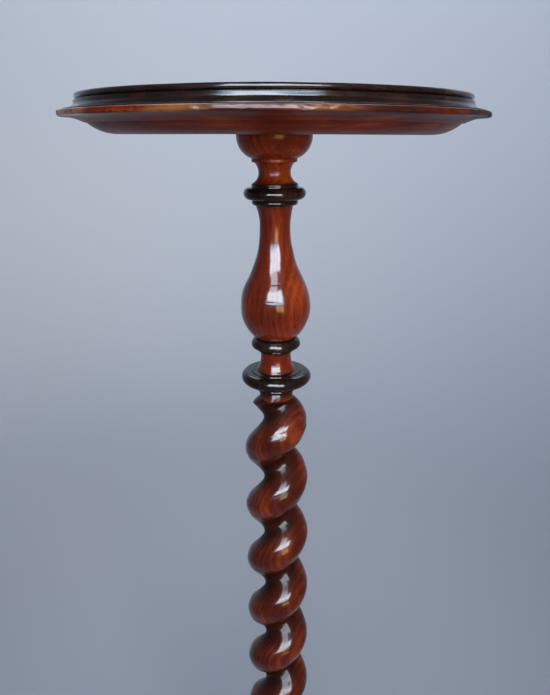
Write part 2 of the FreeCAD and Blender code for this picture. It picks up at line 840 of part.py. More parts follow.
def write(pieces):
    """Writes each piece to its own file, named after it."""
    os.makedirs("parts", exist_ok=True)
    for piece in pieces:
        piece.Shape.exportStep(os.path.join("parts", piece.Label + ".step"))
        box = piece.Shape.BoundBox
        print("%-16s volume %9.0f  z %7.2f to %7.2f" % (piece.Label, piece.Shape.Volume, box.ZMin, box.ZMax))


def main():
    doc = FreeCAD.newDocument("candle_stand")
    pieces = build(doc)
    check(doc, pieces)
    write(pieces)


main()
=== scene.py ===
"""Looks of a candle stand: polished red wood, ebonised turnings and a worn moulded top.

Lengths are in metres. +Z is up along the column, and the front of the stand looks along -Y.
"""

import logging
from dataclasses import dataclass, replace
from enum import Enum
from math import cos, pi, radians, sin, tan

import bmesh
import bpy
import numpy as np
from mathutils import Matrix, Vector


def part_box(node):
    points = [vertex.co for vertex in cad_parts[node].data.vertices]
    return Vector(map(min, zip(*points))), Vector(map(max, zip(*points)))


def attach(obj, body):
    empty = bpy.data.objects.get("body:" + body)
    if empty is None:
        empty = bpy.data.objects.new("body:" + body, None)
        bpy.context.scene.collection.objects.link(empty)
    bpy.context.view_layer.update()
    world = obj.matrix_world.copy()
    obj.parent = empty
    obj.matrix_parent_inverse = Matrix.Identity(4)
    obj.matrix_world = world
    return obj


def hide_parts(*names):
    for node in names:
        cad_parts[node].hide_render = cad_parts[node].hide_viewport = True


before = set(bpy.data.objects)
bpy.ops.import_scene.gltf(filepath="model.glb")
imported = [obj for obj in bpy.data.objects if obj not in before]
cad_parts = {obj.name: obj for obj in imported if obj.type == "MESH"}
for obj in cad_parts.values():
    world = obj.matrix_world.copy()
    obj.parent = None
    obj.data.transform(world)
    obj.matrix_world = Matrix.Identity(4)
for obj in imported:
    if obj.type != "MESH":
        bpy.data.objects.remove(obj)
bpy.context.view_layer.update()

LOG = logging.getLogger("candle_stand")
BODY = "root"
FULL_TURN = 2.0 * pi
# radius of the small flat face that closes a pole
AXIS_HOLE = 0.0003
# points closer together than this are merged
SAME_POINT = 2e-7
# steps of a fine outline in the width of an arris
ARRIS_STEPS = 2.5
# reach over which a turned edge is rubbed, and over which a hollow gets dirt and painted shade
EDGE_REACH = 0.003
# how far the edges of ebonised pieces are rubbed
BLACK_WEAR = 0.15
# radii of the spigots and of the cap's tenon, and depth of the sockets for the spigots
SPIGOT = 0.008
TENON = 0.012
SOCKET = 0.022
# gap around every joint
GLUE = 0.00015
BORE = SPIGOT + GLUE

Colour = tuple[float, float, float]
Place = tuple[float, float]


class Bend(Enum):
    """How an outline runs from one corner to the next."""

    STRAIGHT = "straight"
    LEVEL_HERE = "arc with its centre level with this corner"
    LEVEL_NEXT = "arc with its centre level with the next corner"
    PLUMB_HERE = "arc with its centre plumb with this corner"
    PLUMB_NEXT = "arc with its centre plumb with the next corner"


class Wood(Enum):
    """The record's material slots."""

    RED = "red_wood"
    EBONISED = "ebonised_wood"


@dataclass(frozen=True)
class Corner:
    """A corner of an outline, with the bend of the line that leaves it."""

    across: float
    up: float
    bend: Bend = Bend.STRAIGHT


def bow(*places: Place) -> list[Corner]:
    """Corners of a line that bows out and in: arcs join the places, and it is upright at every second one."""
    bends = [Bend.LEVEL_NEXT, Bend.LEVEL_HERE] * (len(places) // 2) + [Bend.STRAIGHT]
    return [Corner(*place, bend) for place, bend in zip(places, bends)]


def half_round(radius: float, low: float, height: float) -> list[Corner]:
    """Corners of a half-round bead: its nose stands at the radius, half of its height over its lower edge."""
    reach = height / 2
    return bow((radius - reach, low), (radius, low + reach), (radius - reach, low + height))


def peg(radius: float, root: float, tip: float) -> list[Corner]:
    """Corners of a peg or a blind bore, from the axis at its tip to its root."""
    return [Corner(0.0, tip), Corner(radius, tip), Corner(radius, root)]


def run_between(here: Corner, there: Corner, step: float) -> np.ndarray:
    """Points from one corner up to the next, which is left out.

    A bent run is an arc. Its centre is as far from both corners, and level or plumb with the one that the bend names,
    so the line is upright or level there.

    Args:
        here: The corner that the run leaves.
        there: The corner that it goes to.
        step: The widest gap between points.

    Returns:
        An array of (across, up) rows.
    """
    start = np.array([here.across, here.up])
    end = np.array([there.across, there.up])
    if here.bend is Bend.STRAIGHT:
        count = max(int(np.hypot(*(end - start)) / step), 1)
        return start + (end - start) * np.linspace(0.0, 1.0, count, endpoint=False)[:, None]
    pinned, loose = (start, end) if here.bend in (Bend.LEVEL_HERE, Bend.PLUMB_HERE) else (end, start)
    axis = 0 if here.bend in (Bend.LEVEL_HERE, Bend.LEVEL_NEXT) else 1
    gap = pinned - loose
    centre = pinned.copy()
    centre[axis] -= gap.dot(gap) / (2.0 * gap[axis])
    first = np.arctan2(*(start - centre)[::-1])
    sweep = (np.arctan2(*(end - centre)[::-1]) - first + pi) % FULL_TURN - pi
    radius = np.hypot(*(start - centre))
    count = max(int(abs(sweep) * radius / step), 4)
    angle = first + sweep * np.linspace(0.0, 1.0, count, endpoint=False)
    return centre + radius * np.stack([np.cos(angle), np.sin(angle)], axis=1)


def trace(corners: list[Corner], step: float) -> np.ndarray:
    """Points along an outline from its first corner to its last, as (across, up) rows no wider apart than a step."""
    runs = [run_between(here, there, step) for here, there in zip(corners, corners[1:])]
    return np.concatenate(runs + [np.array([[corners[-1].across, corners[-1].up]])])


def along(points: np.ndarray) -> np.ndarray:
    """Distance along a row of points, from its first."""
    return np.concatenate([[0.0], np.cumsum(np.hypot(*np.diff(points, axis=0).T))])


def resampled(wanted: np.ndarray, place: np.ndarray, points: np.ndarray) -> np.ndarray:
    """Points at the wanted places of a line whose own points lie at the given places."""
    return np.stack([np.interp(wanted, place, column) for column in points.T], axis=1)


def mean_reach(width: float) -> int:
    """Rows that a Gaussian mean takes in on each side: four times its width and one more."""
    return int(4 * width) + 1


def smooth(values: np.ndarray, width: float) -> np.ndarray:
    """Gaussian mean of rows that are padded by its reach at both ends; the padding is cut off again."""
    reach = mean_reach(width)
    weight = np.exp(-0.5 * (np.arange(-reach, reach + 1) / width) ** 2)
    weight /= weight.sum()
    return np.stack([np.convolve(column, weight, mode="valid") for column in values.T], axis=1)


def ramp(values: np.ndarray, low: float, high: float) -> np.ndarray:
    """How far values have come on the way from low to high, held between 0 and 1."""
    return np.clip((values - low) / (high - low), 0.0, 1.0)


def eased(share: np.ndarray) -> np.ndarray:
    """A share that starts and ends gently: share^2 (3 - 2 share)."""
    return share**2 * (3.0 - 2.0 * share)


def soft_least(first: np.ndarray, second: np.ndarray, width: float) -> np.ndarray:
    """The lesser of two values, rounded where they cross: the mean less half of sqrt(gap^2 + width^2)."""
    return 0.5 * (first + second - np.sqrt((first - second) ** 2 + width**2))


@dataclass
class Profile:
    """Outline of a turned piece, with softened corners.

    Attributes:
        corners: Corners in order, anticlockwise with the axis on the left.
        bored: Whether the outline closes around a bore; otherwise it runs from axis to axis.
        arris: Width over which a corner is softened.
        coarse: Gap between points where the outline is straight.
        turn: Most that the outline turns from one point to the next, in radians.
    """

    corners: list[Corner]
    bored: bool = False
    arris: float = 0.0004
    coarse: float = 0.0016
    turn: float = 0.11

    def softened(self) -> np.ndarray:
        """The outline in even, fine steps, with its corners softened by a Gaussian mean along it.

        For the mean, a closed outline runs on around its bore, and an open one is mirrored in the axis.

        Returns:
            An array of (radius, height) rows; a closed outline ends where it starts.
        """
        fine = self.arris / ARRIS_STEPS
        line = trace(self.corners + self.corners[:1] if self.bored else self.corners, fine)
        length = along(line)
        even = np.linspace(0.0, length[-1], int(length[-1] / fine), endpoint=not self.bored)
        line = resampled(even, length, line)
        reach = mean_reach(ARRIS_STEPS)
        if self.bored:
            soft = smooth(np.concatenate([line[-reach:], line, line[:reach]]), ARRIS_STEPS)
            return np.concatenate([soft, soft[:1]])
        mirror = np.array([-1.0, 1.0])
        padded = np.concatenate([line[reach:0:-1] * mirror, line, line[-2 : -reach - 2 : -1] * mirror])
        return smooth(padded, ARRIS_STEPS)

    def points(self) -> np.ndarray:
        """The outline's points, closer together where it bends: their gap is 1 / (1 / coarse + curvature / turn).

        Returns:
            An array of (radius, height) rows.
        """
        soft = self.softened()
        place = along(soft)
        heading = np.unwrap(np.arctan2(*np.gradient(soft, axis=0).T[::-1]))
        bend = np.abs(np.gradient(heading, place))
        need = np.concatenate([[0.0], np.cumsum(np.diff(place) * (1.0 / self.coarse + (bend / self.turn)[1:]))])
        pick = np.linspace(0.0, need[-1], int(need[-1]) + 2, endpoint=not self.bored)
        thin = resampled(pick, need, soft)
        if not self.bored:
            thin[[0, -1], 0] = AXIS_HOLE
        return thin


def edges(profile: np.ndarray, reach: float) -> tuple[np.ndarray, np.ndarray]:
    """Where an outline stands out and where it is hollow, over a given reach.

    An outline point that lies outside the Gaussian mean of the outline around it stands out, and one that lies inside
    it is hollow. The offset is measured along the outline's normal. A sharp corner's is about half the reach, and
    what a gentle curve has, under a sixth of the reach, counts as none.

    Args:
        profile: Points of the outline, as (radius, height) rows.
        reach: Width of the mean.

    Returns:
        How far each point stands out and how hollow it is, both from 0 to 1.
    """
    width, fewest, least, most = 4.0, 40, 0.16, 0.50
    place = along(profile)
    even = np.linspace(0.0, place[-1], max(int(place[-1] / (reach / width)), fewest))
    line = resampled(even, place, profile)
    padding = mean_reach(width)
    mean = smooth(np.pad(line, ((padding, padding), (0, 0)), mode="edge"), width)
    tangent = np.gradient(line, axis=0)
    tangent /= np.maximum(np.hypot(*tangent.T), 1e-9)[:, None]
    out = (line[:, 0] - mean[:, 0]) * tangent[:, 1] - (line[:, 1] - mean[:, 1]) * tangent[:, 0]
    out = np.interp(place, even, out) / reach
    return ramp(out, least, most), ramp(-out, least, most)


def spun(outline: np.ndarray, columns: int) -> tuple[np.ndarray, np.ndarray, np.ndarray]:
    """Angles, radii and heights of the points that an outline leaves as it turns, one row for each of its points."""
    angle = np.linspace(0.0, FULL_TURN, columns, endpoint=False)[None, :]
    radius, height = (np.repeat(column[:, None], columns, axis=1) for column in outline.T)
    return angle, radius, height


def around_axis(radius: np.ndarray, angle: np.ndarray, height: np.ndarray) -> np.ndarray:
    """Points at a radius, angle and height: x = radius cos(angle), y = radius sin(angle)."""
    return np.stack(np.broadcast_arrays(radius * np.cos(angle), radius * np.sin(angle), height), axis=-1)


def ripple(angle: np.ndarray, place: np.ndarray, pitch: float, finest: int, seed: int) -> np.ndarray:
    """Smooth uneven relief around zero: a sum of sine waves with seeded counts around, pitches along and phases.

    Args:
        angle: Angle of each point around the axis.
        place: Distance of each point along the piece.
        pitch: Usual length of a wave along the piece.
        finest: Most waves around the axis.
        seed: Picks the waves.

    Returns:
        The relief, with a spread of about 1.
    """
    dice = np.random.default_rng(seed)
    waves = 14
    around = dice.integers(0, finest + 1, waves)[:, None, None]
    rise = dice.normal(0.0, FULL_TURN / pitch, waves)[:, None, None]
    phase = dice.uniform(0.0, FULL_TURN, waves)[:, None, None]
    return np.sin(around * angle + rise * place + phase).sum(axis=0) / np.sqrt(waves / 2)


def seat_dirt(height: np.ndarray, seats: Place, reach: float) -> np.ndarray:
    """Dirt beside the nearer of two seats, which falls off as exp(-distance / reach)."""
    low, high = seats
    return np.exp(-np.minimum(np.abs(height - low), np.abs(height - high)) / reach)


@dataclass(frozen=True)
class Dents:
    """Knocks on a surface: Gaussian hollows at given places.

    Attributes:
        angles: Angles around the axis, in degrees.
        heights: Heights of their middles.
        length: Half length around the axis.
        width: Half width along the axis.
        depth: Depth in the middle.
    """

    angles: tuple[float, ...]
    heights: tuple[float, ...]
    length: float
    width: float
    depth: float

    def depths(self, angle: np.ndarray, radius: np.ndarray, height: np.ndarray) -> np.ndarray:
        """How deep the surface is hollowed: depth times exp(-(arc / length)^2 - (rise / width)^2), summed."""
        turn = angle - np.radians(np.array(self.angles))[:, None, None]
        arc = ((turn + pi) % FULL_TURN - pi) * radius
        rise = height - np.array(self.heights)[:, None, None]
        return self.depth * np.exp(-((arc / self.length) ** 2) - (rise / self.width) ** 2).sum(axis=0)


def new_object(name: str, data: bpy.types.ID) -> bpy.types.Object:
    """A new object in the scene that holds the data."""
    made = bpy.data.objects.new(name, data)
    bpy.context.scene.collection.objects.link(made)
    return made


def new_mesh(name: str, grid: np.ndarray, faces: list[list[int]], **numbers: np.ndarray) -> bpy.types.Mesh:
    """A smooth mesh that holds further numbers for each point.

    Args:
        name: Name of the mesh.
        grid: Points, as rows by columns by 3.
        faces: The point numbers of each face.
        numbers: Values from 0 to 1 under each label, for rows and columns of points.

    Returns:
        The mesh.
    """
    mesh = bpy.data.meshes.new(name)
    mesh.from_pydata(grid.reshape(-1, 3).tolist(), [], faces)
    mesh.polygons.foreach_set("use_smooth", np.ones(len(faces), dtype=bool))
    for label, values in numbers.items():
        layer = mesh.attributes.new(label, "FLOAT", "POINT")
        held = np.clip(np.broadcast_to(values, grid.shape[:2]), 0.0, 1.0)
        layer.data.foreach_set("value", held.astype(np.float32).ravel())
    return mesh


def cells_between(below: np.ndarray, above: np.ndarray) -> np.ndarray:
    """Point numbers of the four-sided cells between rings of points, one cell to a row."""
    sides = [below, np.roll(below, -1, axis=1), np.roll(above, -1, axis=1), above]
    return np.stack(sides, axis=-1).reshape(-1, 4)


def skin(name: str, grid: np.ndarray, worn: np.ndarray, grime: np.ndarray, loop: bool = False) -> bpy.types.Object:
    """A mesh from a grid of points whose columns close into rings.

    The faces are the grid's cells. Where the rows don't close into a loop, the first and last ring get a flat face.
    The faces are turned outwards by the sign of the enclosed volume, the sum of a . (b x c) / 6 over the cells.
    Points that coincide are merged, so that no face is left without area.

    Args:
        name: Name of the object and its mesh.
        grid: Points, as rows by columns by 3.
        worn: How worn each point is, from 0 to 1.
        grime: How dirty each point is, with the painted shade of its hollows, from 0 to 1.
        loop: Whether the rows close into a loop.

    Returns:
        The object, linked to the scene.
    """
    index = np.arange(grid.shape[0] * grid.shape[1]).reshape(grid.shape[:2])
    cells = cells_between(index, np.roll(index, -1, axis=0)) if loop else cells_between(index[:-1], index[1:])
    a, b, c, d = grid.reshape(-1, 3)[cells.T]
    volume = (np.einsum("ij,ij->i", a, np.cross(b, c)) + np.einsum("ij,ij->i", a, np.cross(c, d))).sum()
    order = -1 if volume < 0 else 1
    faces = cells[:, ::order].tolist()
    if not loop:
        faces += [index[0, ::-order].tolist(), index[-1, ::order].tolist()]
    mesh = new_mesh(name, grid, faces, worn=worn, grime=grime)
    merged = bmesh.new()
    merged.from_mesh(mesh)
    bmesh.ops.remove_doubles(merged, verts=merged.verts, dist=SAME_POINT)
    merged.to_mesh(mesh)
    merged.free()
    mesh.update()
    return new_object(name, mesh)


class Graph:
    """A material's nodes, with short calls to add and join them."""

    def __init__(self, name: str) -> None:
        """Makes an empty material of that name."""
        self.material = bpy.data.materials.new(name)
        self.material.use_nodes = True
        self.tree = self.material.node_tree
        self.tree.nodes.clear()

    def node(self, kind: str, inputs: dict[str | int, object], **settings: object) -> bpy.types.Node:
        """Adds a node.

        Args:
            kind: Blender's name of the node type.
            inputs: Value or socket for each named or numbered input.
            settings: Properties of the node.

        Returns:
            The node.
        """
        made = self.tree.nodes.new(kind)
        for label, value in settings.items():
            setattr(made, label, value)
        for label, value in inputs.items():
            if isinstance(value, bpy.types.NodeSocket):
                self.tree.links.new(value, made.inputs[label])
            else:
                made.inputs[label].default_value = value
        return made

    def math(self, operation: str, first: object, second: object = 0.0) -> bpy.types.NodeSocket:
        """Result of a Math node."""
        return self.node("ShaderNodeMath", {0: first, 1: second}, operation=operation).outputs[0]

    def sum(self, value: object, factor: float, more: object) -> bpy.types.NodeSocket:
        """The value times the factor, plus more."""
        return self.node("ShaderNodeMath", {0: value, 1: factor, 2: more}, operation="MULTIPLY_ADD").outputs[0]

    def vector(self, operation: str, first: object, second: object) -> bpy.types.NodeSocket:
        """Result of a Vector Math node that gives a vector."""
        return self.node("ShaderNodeVectorMath", {0: first, 1: second}, operation=operation).outputs[0]

    def noise(self, vector: bpy.types.NodeSocket, scale: float, detail: float, drawn: float) -> bpy.types.Node:
        """A Noise Texture node whose waves are longer along Z by the inverse of drawn."""
        longer = self.vector("MULTIPLY", vector, (1.0, 1.0, drawn))
        return self.node("ShaderNodeTexNoise", {"Vector": longer, "Scale": scale, "Detail": detail})

    def band(self, value: bpy.types.NodeSocket, low: float, high: float) -> bpy.types.NodeSocket:
        """A value mapped from low..high to 0..1, smoothly and clamped."""
        limits = {"Value": value, "From Min": low, "From Max": high}
        return self.node("ShaderNodeMapRange", limits, interpolation_type="SMOOTHSTEP").outputs[0]

    def blend(self, share: bpy.types.NodeSocket, first: object, second: Colour) -> bpy.types.NodeSocket:
        """A colour that goes from the first, a colour or a socket, to the second with the share."""
        start = (*first, 1.0) if isinstance(first, tuple) else first
        return self.node("ShaderNodeMix", {0: share, 6: start, 7: (*second, 1.0)}, data_type="RGBA").outputs[2]

    def attribute(self, label: str) -> bpy.types.NodeSocket:
        """A number that the mesh holds for each point."""
        return self.node("ShaderNodeAttribute", {}, attribute_name=label).outputs["Fac"]


@dataclass(frozen=True)
class Grain:
    """How a piece was cut from the tree: shift of the pith from the origin, and turn that lays its length along Z."""

    pith: Colour
    turn: Colour = (0.0, 0.0, 0.0)


@dataclass(frozen=True)
class Polish:
    """Hardwood with rings, fibres and pores under a polish.

    Attributes:
        slot: The record's material slot.
        dark, body, glow: Colours of the late wood, of most of the wood and of the bright figure.
        bare, dirt: Colours where an edge is worn through, and of pores, worm holes, dirt and the painted shade in the
            hollows.
        ring, sway: Gap between growth rings, and how far they wander.
        streak, pore_share: How strongly the fibres and the pores show.
        gloss, sheen: Roughness of the wood under the polish, and how much it mirrors.
        coat, coat_gloss, coat_index: Strength, roughness and refractive index of the polish.
        scuff: How deep the fine dints are where it is worn.
        rubbed_shine, dulled: How much stronger the polish is where it is worn, and weaker where it is dirty and in
            painted shade.
    """

    slot: Wood
    dark: Colour
    body: Colour
    glow: Colour
    bare: Colour
    dirt_and_shade: Colour
    ring: float = 0.0042
    sway: float = 0.016
    streak: float = 0.27
    pore_share: float = 0.48
    gloss: float = 0.30
    sheen: float = 0.02
    coat: float = 1.0
    coat_gloss: float = 0.09
    coat_index: float = 1.40
    scuff: float = 0.0
    rubbed_shine: float = 0.0
    dulled: float = 0.0

    def material(self, name: str, grain: Grain) -> bpy.types.Material:
        """Builds the material of one piece.

        The colour follows a tone, which adds up fibres along the grain, rings around the pith and wide clouds. Pores
        are the peaks of a fine noise stretched along the grain, and a few worm holes are the middles of wide cells.
        Worn edges, and the dirt and painted shade of the hollows, follow the mesh's own numbers.

        Args:
            name: Name of the material.
            grain: How the piece lies in the wood.

        Returns:
            The material.
        """
        graph = Graph(name)
        worn, grime = graph.attribute("worn"), graph.attribute("grime")
        seat = graph.node("ShaderNodeTexCoord", {}).outputs["Object"]
        lie = {"Vector": seat, "Location": grain.pith, "Rotation": grain.turn}
        wood = graph.node("ShaderNodeMapping", lie).outputs[0]
        drift = graph.noise(wood, scale=14.0, detail=2.0, drawn=0.4).outputs["Color"]
        bent = graph.vector("ADD", wood, graph.vector("MULTIPLY", drift, (self.sway, self.sway, 0.0)))
        disc = graph.vector("MULTIPLY", bent, (1.0, 1.0, 0.0))
        reach = graph.node("ShaderNodeVectorMath", {0: disc}, operation="LENGTH").outputs["Value"]
        rings = graph.math("SINE", graph.math("MULTIPLY", reach, FULL_TURN / self.ring))
        fibres = graph.noise(bent, scale=620.0, detail=4.0, drawn=0.035).outputs["Fac"]
        flecks = graph.noise(bent, scale=1150.0, detail=1.0, drawn=0.11).outputs["Fac"]
        pores = graph.band(flecks, low=0.60, high=0.68)
        cells = graph.node("ShaderNodeTexVoronoi", {"Vector": wood, "Scale": 60.0}).outputs["Distance"]
        holes = graph.band(cells, low=0.034, high=0.026)
        clouds = graph.noise(wood, scale=46.0, detail=3.0, drawn=0.4).outputs["Fac"]
        tone = graph.sum(rings, factor=0.05, more=0.09 - self.streak / 2)
        tone = graph.sum(fibres, self.streak, tone)
        tone = graph.sum(clouds, factor=0.95, more=tone)
        colour = graph.blend(graph.band(tone, low=0.22, high=0.56), self.dark, self.body)
        colour = graph.blend(graph.band(tone, low=0.52, high=0.86), colour, self.glow)
        colour = graph.blend(graph.math("MULTIPLY", pores, self.pore_share), colour, self.dirt_and_shade)
        colour = graph.blend(graph.math("MULTIPLY", holes, 0.9), colour, self.dirt_and_shade)
        rubbed = graph.band(graph.sum(clouds, factor=0.5, more=worn), low=0.55, high=1.15)
        colour = graph.blend(rubbed, colour, self.bare)
        # The grime number holds dirt and painted shade in the hollows; cloudy patches of it darken the colour towards
        # the dirt colour.
        grimy_and_shaded = graph.math("MULTIPLY", grime, graph.band(clouds, low=0.2, high=0.6))
        colour = graph.blend(grimy_and_shaded, colour, self.dirt_and_shade)
        rough = graph.sum(clouds, factor=0.16, more=self.gloss - 0.08)
        rough = graph.sum(grimy_and_shaded, factor=0.25, more=rough)
        dints = graph.noise(seat, scale=760.0, detail=3.0, drawn=1.0).outputs["Fac"]
        relief = graph.math("SUBTRACT", graph.math("MULTIPLY", fibres, 0.35), pores)
        relief = graph.sum(graph.math("MULTIPLY", dints, worn), self.scuff, relief)
        bump = graph.node("ShaderNodeBump", {"Strength": 0.35, "Distance": 0.00012, "Height": relief})
        coat = self.coat
        if self.rubbed_shine or self.dulled:
            coat = graph.sum(grime, -self.dulled, graph.sum(worn, self.rubbed_shine, coat))
        shader = graph.node(
            "ShaderNodeBsdfPrincipled",
            {
                "Base Color": colour,
                "Roughness": rough,
                "Normal": bump.outputs[0],
                "Specular IOR Level": self.sheen,
                "Coat Weight": coat,
                "Coat Roughness": self.coat_gloss,
                "Coat IOR": self.coat_index,
            },
        )
        graph.node("ShaderNodeOutputMaterial", {"Surface": shader.outputs[0]})
        return graph.material


RED_POLISH = Polish(
    slot=Wood.RED,
    dark=(0.050, 0.0075, 0.0025),
    body=(0.142, 0.018, 0.004),
    glow=(0.330, 0.062, 0.008),
    bare=(0.240, 0.080, 0.026),
    dirt_and_shade=(0.014, 0.005, 0.003),
    coat_gloss=0.135,
)
# A darker copy of the red polish: painted shade, because the twist lies in weaker light than the vase.
TWIST_SHADED_POLISH = replace(
    RED_POLISH,
    dark=(0.026, 0.006, 0.003),
    body=(0.078, 0.0115, 0.004),
    glow=(0.225, 0.040, 0.009),
    bare=(0.190, 0.050, 0.014),
    dirt_and_shade=(0.009, 0.004, 0.003),
    streak=0.14,
    coat=0.95,
    coat_gloss=0.13,
    dulled=0.6,
)
# A brighter copy of the red polish: painted light on the cap, which sits in the board's shadow.
CAP_LIT_POLISH = replace(
    RED_POLISH, body=(0.195, 0.028, 0.006), glow=(0.390, 0.076, 0.011), coat=0.6, coat_gloss=0.24
)
BOARD_POLISH = replace(
    RED_POLISH,
    bare=(0.270, 0.105, 0.028),
    dirt_and_shade=(0.012, 0.006, 0.005),
    gloss=0.46,
    coat=0.30,
    coat_gloss=0.24,
    scuff=12.0,
    rubbed_shine=0.7,
)
BLACK_POLISH = Polish(
    slot=Wood.EBONISED,
    dark=(0.006, 0.0035, 0.003),
    body=(0.013, 0.007, 0.005),
    glow=(0.040, 0.017, 0.011),
    bare=(0.085, 0.032, 0.014),
    dirt_and_shade=(0.004, 0.003, 0.003),
    gloss=0.34,
    coat=0.85,
    coat_gloss=0.08,
)
RIM_POLISH = replace(BLACK_POLISH, coat=1.0, coat_gloss=0.16)


def settle(piece: bpy.types.Object, node: str, polish: Polish, grain: Grain) -> None:
    """Gives a new piece its finish and puts it in the place of its CAD node.

    Args:
        piece: The new piece.
        node: The CAD node that it stands for.
        polish: Its finish.
        grain: How it lies in the wood.
    """
    piece.data.materials.append(polish.material(node + "_polish", grain))
    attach(piece, BODY)
    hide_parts(node)
    LOG.info("%s: %d points", piece.name, len(piece.data.vertices))


def level(node: str) -> Place:
    """Lowest and highest point of a CAD node."""
    low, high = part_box(node)
    return low.z, high.z


@dataclass
class Turning:
    """A piece turned on the lathe.

    Attributes:
        node, profile, polish: The CAD node that it stands for, its outline and its finish.
        pith: Where the pith of its wood lies.
        columns: Points around the axis.
        uneven: Height of the hand-worked relief.
        wear: How far its edges are rubbed.
        ends, seat_grime: Heights of its two seats, and how far dirt reaches from them.
        dents, knock_dirt: Knocks on it, and the depth from which a knock is fully dirty.
        seed: Picks its relief, and with 50 more its patches of wear.
    """

    node: str
    profile: Profile
    polish: Polish
    pith: Colour = (0.03, 0.02, 0.0)
    columns: int = 160
    uneven: float = 0.00008
    wear: float = 0.5
    seat_grime: float = 0.0012
    ends: Place = (0.0, 0.0)
    dents: tuple[Dents, ...] = ()
    knock_dirt: float = 0.0002
    seed: int = 1

    def build(self) -> None:
        """Turns the outline about the axis; away from the poles, relief is added to its radius and dents taken off."""
        outline = self.profile.points()
        out, hollow = edges(outline, EDGE_REACH)
        angle, radius, height = spun(outline, self.columns)
        relief = self.uneven * ripple(angle, height, pitch=0.03, finest=5, seed=self.seed)
        knocks = sum((dent.depths(angle, radius, height) for dent in self.dents), np.zeros_like(radius))
        radius = radius + (relief - knocks) * ramp(radius, 2 * AXIS_HOLE, 4 * AXIS_HOLE)
        patchy = 0.75 + 0.25 * ripple(angle, height, pitch=0.02, finest=9, seed=self.seed + 50)
        worn = out[:, None] * patchy * self.wear
        # Painted shade in the outline's hollows, with dirt beside the seats and in the knocks.
        grime = np.maximum(hollow[:, None], seat_dirt(height, self.ends, self.seat_grime))
        grime = np.maximum(grime, ramp(knocks, 0.0, self.knock_dirt))
        grid = around_axis(radius, angle, height)
        piece = skin(self.node + "_turned", grid, worn, grime, self.profile.bored)
        settle(piece, self.node, self.polish, Grain(self.pith))


